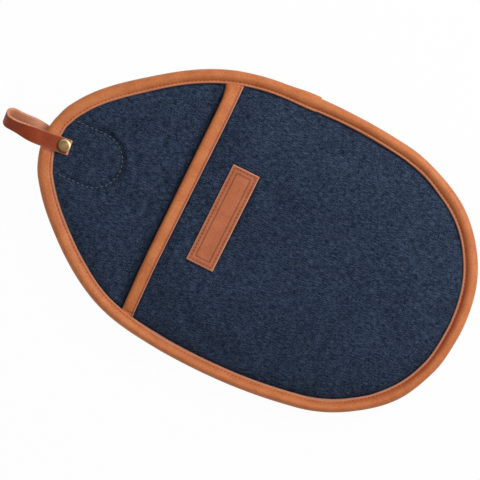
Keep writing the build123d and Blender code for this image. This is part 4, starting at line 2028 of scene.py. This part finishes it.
@dataclass
class HangingLoop:
    """The leather strap that is folded round the narrow end into an open, twisted loop."""

    shape: MittShape
    finishes: Finishes
    width: float = 10.6 * MM
    thickness: float = 1.8 * MM
    clearance: float = 0.3 * MM
    tail: float = 4.4 * MM
    straight: float = 15 * MM
    spread: float = math.radians(8)
    reach: float = 44.8 * MM
    fold_radius: float = 4.4 * MM
    twist: float = math.radians(46)
    twist_run: float = 21 * MM
    lift: float = 0.8 * MM
    rest_angle: float = math.radians(176.6)

    def stations(self) -> tuple[Array, Array, Array]:
        """Follow the strap's middle line from its front end round the fold to its back end.

        Returns:
            The points, the ways ahead and the twists, in the strap's own frame on the rivet's axis.
        """
        fold = self.reach - self.thickness / 2 - self.fold_radius
        run = fold - self.straight
        slope = math.tan(self.spread)
        fold_sin, fold_cos = math.sin(self.twist), math.cos(self.twist)
        rise = (self.shape.rim_high - self.shape.rim_low) / 2 + LEATHER + self.clearance + self.thickness / 2
        legs = []
        for leg in (1, -1):
            along = np.linspace(-self.tail, self.straight / math.cos(self.spread), 24)[:-1]
            flat = along[:, None] * (math.cos(self.spread), leg * math.sin(self.spread), 0.0)
            flat[:, 2] = leg * rise
            flat_ahead = np.tile([leg * math.cos(self.spread), math.sin(self.spread), 0.0], (len(along), 1))
            t = np.linspace(0, 1, 40)
            eased, rate = t * t * (3 - 2 * t), 6 * t * (1 - t) / run
            aside = self.straight * slope * (1 - eased) + run * slope * t * (1 - t) ** 2
            aside = aside + self.fold_radius * fold_sin * eased
            aside_rate = (self.fold_radius * fold_sin - self.straight * slope) * rate
            aside_rate = aside_rate + slope * (1 - t) * (1 - 3 * t)
            upwards = rise + (self.fold_radius * fold_cos - rise) * eased
            up_rate = (self.fold_radius * fold_cos - rise) * rate
            bent = np.column_stack([self.straight + run * t, leg * aside, leg * upwards + self.lift * eased])
            bent_ahead = np.column_stack([np.full(len(t), leg), aside_rate, up_rate + leg * self.lift * rate])
            turned = ease(run * t, 0.0, self.twist_run) * self.twist
            twists = np.concatenate([np.zeros(len(along)), turned])
            legs.append((np.concatenate([flat, bent]), np.concatenate([flat_ahead, bent_ahead]), twists))
        a = np.linspace(0, math.pi, 36)[1:-1]
        out, back = np.sin(a), np.cos(a)
        turn = np.column_stack(
            [
                fold + self.fold_radius * out,
                self.fold_radius * fold_sin * back,
                self.fold_radius * fold_cos * back + self.lift,
            ]
        )
        turn_ahead = np.column_stack([back, -fold_sin * out, -fold_cos * out])
        points = np.concatenate([legs[0][0], turn, legs[1][0][::-1]])
        ahead = np.concatenate([legs[0][1], turn_ahead, legs[1][1][::-1]])
        twists = np.concatenate([legs[0][2], np.full(len(a), self.twist), legs[1][2][::-1]])
        return points, ahead / np.linalg.norm(ahead, axis=1)[:, None], twists

    def build(self) -> list[Piece]:
        """Make the strap and finish the rivet that holds it.

        Returns:
            The pieces.
        """
        points, ahead, twists = self.stations()
        across = np.column_stack([0 * twists, np.cos(twists), -np.sin(twists)])
        side = across - ahead * np.einsum("ij,ij->i", across, ahead)[:, None]
        side /= np.linalg.norm(side, axis=1)[:, None]
        face = np.cross(ahead, side)
        section = self.section()
        count, around = len(points), len(section)
        narrow = np.ones(count)
        narrow[[0, -1]] = 0.95
        narrow[[1, -2]] = 0.985
        grid = points[:, None] + (section[None, :, :1] * narrow[:, None, None]) * side[:, None]
        grid = grid + section[None, :, 1:2] * face[:, None]
        c, s = math.cos(self.rest_angle), math.sin(self.rest_angle)
        axes = np.array([[c, s, 0.0], [-s, c, 0.0], [0.0, 0.0, 1.0]])
        grid = grid.reshape(-1, 3) @ axes + (*self.shape.rivet, self.shape.middle)
        faces = grid_faces(count, around, False, True)
        faces.append(list(range(around))[::-1])
        faces.append([(count - 1) * around + k for k in range(around)])
        ends = np.zeros((count, 1))
        ends[[0, -1]] = 1.0
        ends[[1, -2]] = 0.85
        marks = {
            "cut": np.maximum(np.broadcast_to(section[None, :, 2], (count, around)), ends),
            "flesh": np.broadcast_to(section[None, :, 3], (count, around)),
        }
        strap = new_piece("hang_loop_strap", grid, faces, self.finishes.strap, marks)
        join_body(strap, Body.LOOP, Slot.STRAP, "hang_loop")
        brass = BrassFinish(axis=self.shape.rivet).material()
        for node in ("rivet_cap", "rivet_stud"):
            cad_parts[node].data.materials.clear()
            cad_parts[node].data.materials.append(brass)
        return [strap]

    def section(self) -> Array:
        """Give the strap's cross-section.

        Returns:
            Rows of place across, place through, cut-edge mark and flesh-side mark.
        """
        half = np.array([1, 0.985, 0.955, 0.9, 0.75, 0.4])
        across = np.concatenate([-half, [0], half[::-1]]) * self.width / 2
        half = np.array([0.35, 0.7, 0.9, 1, 1.03, 1.03])
        through = np.concatenate([half, [1.03], half[::-1]]) * self.thickness / 2
        half = np.array([1, 0.9, 0.5, 0.1, 0, 0])
        cut = np.concatenate([half, [0], half[::-1]])
        outer = np.column_stack([across, through, cut, np.zeros(len(across))])
        inner = np.column_stack([across, -through, cut, np.ones(len(across))])[::-1]
        return np.concatenate([outer, inner])


@dataclass
class TabStitches:
    """The U-shaped stitch line round the rivet."""

    shape: MittShape
    finishes: Finishes
    sewing: Sewing
    stitch: Stitch = Stitch(3.3 * MM, 2.2 * MM, 0.42 * MM)
    start_x: float = -126 * MM

    def build(self) -> list[Piece]:
        """Sew the line on the narrow end.

        Returns:
            The piece.
        """
        shape = self.shape
        bow, upper = shape.tab_line(self.start_x, 60, 30)
        flat = np.concatenate([(upper * (1, -1))[::-1], bow, upper])
        path = np.column_stack([flat, shape.base_top(flat[:, 0], flat[:, 1]) + 0.14 * MM])
        thread = self.finishes.beige_thread
        return [self.sewing.row("tab_stitches", Slot.DENIM, path, (0, 0, 1), self.stitch, thread)]


@dataclass(frozen=True)
class Lamp:
    """A soft square lamp, its place from the picture's middle: to its right, up it and above it."""

    name: str
    place: Point
    size: float
    power: float


@dataclass
class Studio:
    """The pale floor, the soft lamps and the camera straight above."""

    roll: float = math.radians(24.42)
    centre: Place = (8.1 * MM, -8.6 * MM)
    view_width: float = 321.1 * MM
    distance: float = 1.6
    edge_height: float = 7.8 * MM
    floor_half: float = 6.0
    floor_gap: float = 0.2 * MM
    floor_white: float = 0.96
    sky_strength: float = 0.22
    key: Lamp = Lamp("key_lamp", (1.05, 0.6, 0.95), 0.7, 16.0)
    top: Lamp = Lamp("top_lamp", (-0.3, 0.0, 2.0), 1.8, 12.5)

    def build(self) -> None:
        """Set up the whole studio."""
        self.floor()
        self.sky()
        self.hang(self.key)
        self.hang(self.top)
        self.camera()
        bpy.context.scene.view_settings.view_transform = "Standard"

    def floor(self) -> None:
        """Lay a pale floor that keeps the mitt's shadow but shows white."""
        material, bench = new_material("white_floor")
        matt = bench.node("ShaderNodeBsdfDiffuse", None, {"Color": (0.86, 0.86, 0.86, 1.0)})
        white = bench.node("ShaderNodeEmission", None, {"Color": (1.0, 1.0, 1.0, 1.0), "Strength": 1.0})
        share = bench.seen() * self.floor_white
        mixed = bench.node("ShaderNodeMixShader", None, {0: share, 1: matt, 2: white})
        bench.node("ShaderNodeOutputMaterial", None, {"Surface": mixed})
        far, low = self.floor_half, -self.floor_gap
        corners = np.array([[-far, -far, low], [far, -far, low], [far, far, low], [-far, far, low]])
        new_piece("studio_floor", corners, [[0, 1, 2, 3]], material)

    def sky(self) -> None:
        """Light the room evenly and show it white."""
        world = bpy.data.worlds.new("studio_world")
        world.use_nodes = True
        bench = Bench(world.node_tree)
        cool, plain = (0.95, 0.97, 1.0, 1.0), (1.0, 1.0, 1.0, 1.0)
        soft = bench.node("ShaderNodeBackground", None, {"Color": cool, "Strength": self.sky_strength})
        white = bench.node("ShaderNodeBackground", None, {"Color": plain, "Strength": 1.0})
        mixed = bench.node("ShaderNodeMixShader", None, {0: bench.seen(), 1: soft, 2: white})
        bench.node("ShaderNodeOutputWorld", None, {"Surface": mixed})
        bpy.context.scene.world = world

    def hang(self, lamp: Lamp) -> None:
        """Hang a lamp that faces the mitt.

        Args:
            lamp: The lamp.
        """
        data = bpy.data.lights.new(lamp.name, "AREA")
        data.size = lamp.size
        data.energy = lamp.power
        right, up, above = lamp.place
        c, s = math.cos(self.roll), math.sin(self.roll)
        offset = Vector((right * c - up * s, right * s + up * c, above))
        hung = add_object(lamp.name, data)
        hung.location = Vector((*self.centre, 0)) + offset
        hung.rotation_euler = (-offset).to_track_quat("-Z", "Y").to_euler()

    def camera(self) -> None:
        """Hang the camera over the mitt, turned as the photograph is."""
        data = bpy.data.cameras.new("photo_camera")
        data.sensor_width = 36.0
        data.lens = data.sensor_width * self.distance / self.view_width
        camera = add_object("photo_camera", data)
        camera.location = (*self.centre, self.distance + self.edge_height)
        camera.rotation_euler = (0.0, 0.0, self.roll)
        bpy.context.scene.camera = camera


def declare_cloth(pieces: dict[str, Piece]) -> None:
    """Measure each sheet of cloth and the size it was cut to; the sizes are not kept.

    Args:
        pieces: The pieces by name.
    """
    sewn = ("base_inner_denim_cloth", "base_back_denim_cloth", "pocket_denim_cloth", "pocket_lining_cloth")
    holds = {name: ("stretched", "edge_binding_tape") for name in sewn}
    holds["rivet_backing_cloth"] = ("laid", "base_wadding_felt")
    for name, (held, holder) in holds.items():
        piece = pieces[name]
        area = float(sum(polygon.area for polygon in piece.data.polygons) / 2)
        corners = np.array(piece.bound_box)
        length, width, _ = (float(side) for side in corners.max(0) - corners.min(0))
        if held == "stretched":
            width = width * max(1.0, area / (length * width) * SEAM_SPARE)


def main() -> None:
    """Build the mitt piece by piece."""
    logging.basicConfig(level=logging.INFO, format="%(name)s %(message)s")
    shape = MittShape.from_frame()
    shape.swell_up()
    finishes = Finishes()
    sewing = Sewing()
    pieces = []
    pieces += BasePad(shape, finishes).build()
    pieces += PocketPanel(shape, finishes).build()
    pieces += EdgeBinding(shape, finishes, sewing).build()
    pieces += MouthBinding(shape, finishes, sewing).build()
    pieces += LabelPatch(shape, finishes, sewing).build()
    pieces += HangingLoop(shape, finishes).build()
    pieces += TabStitches(shape, finishes, sewing).build()
    declare_cloth({piece.name: piece for piece in pieces})
    Studio().build()


if __name__ == "__main__":
    main()
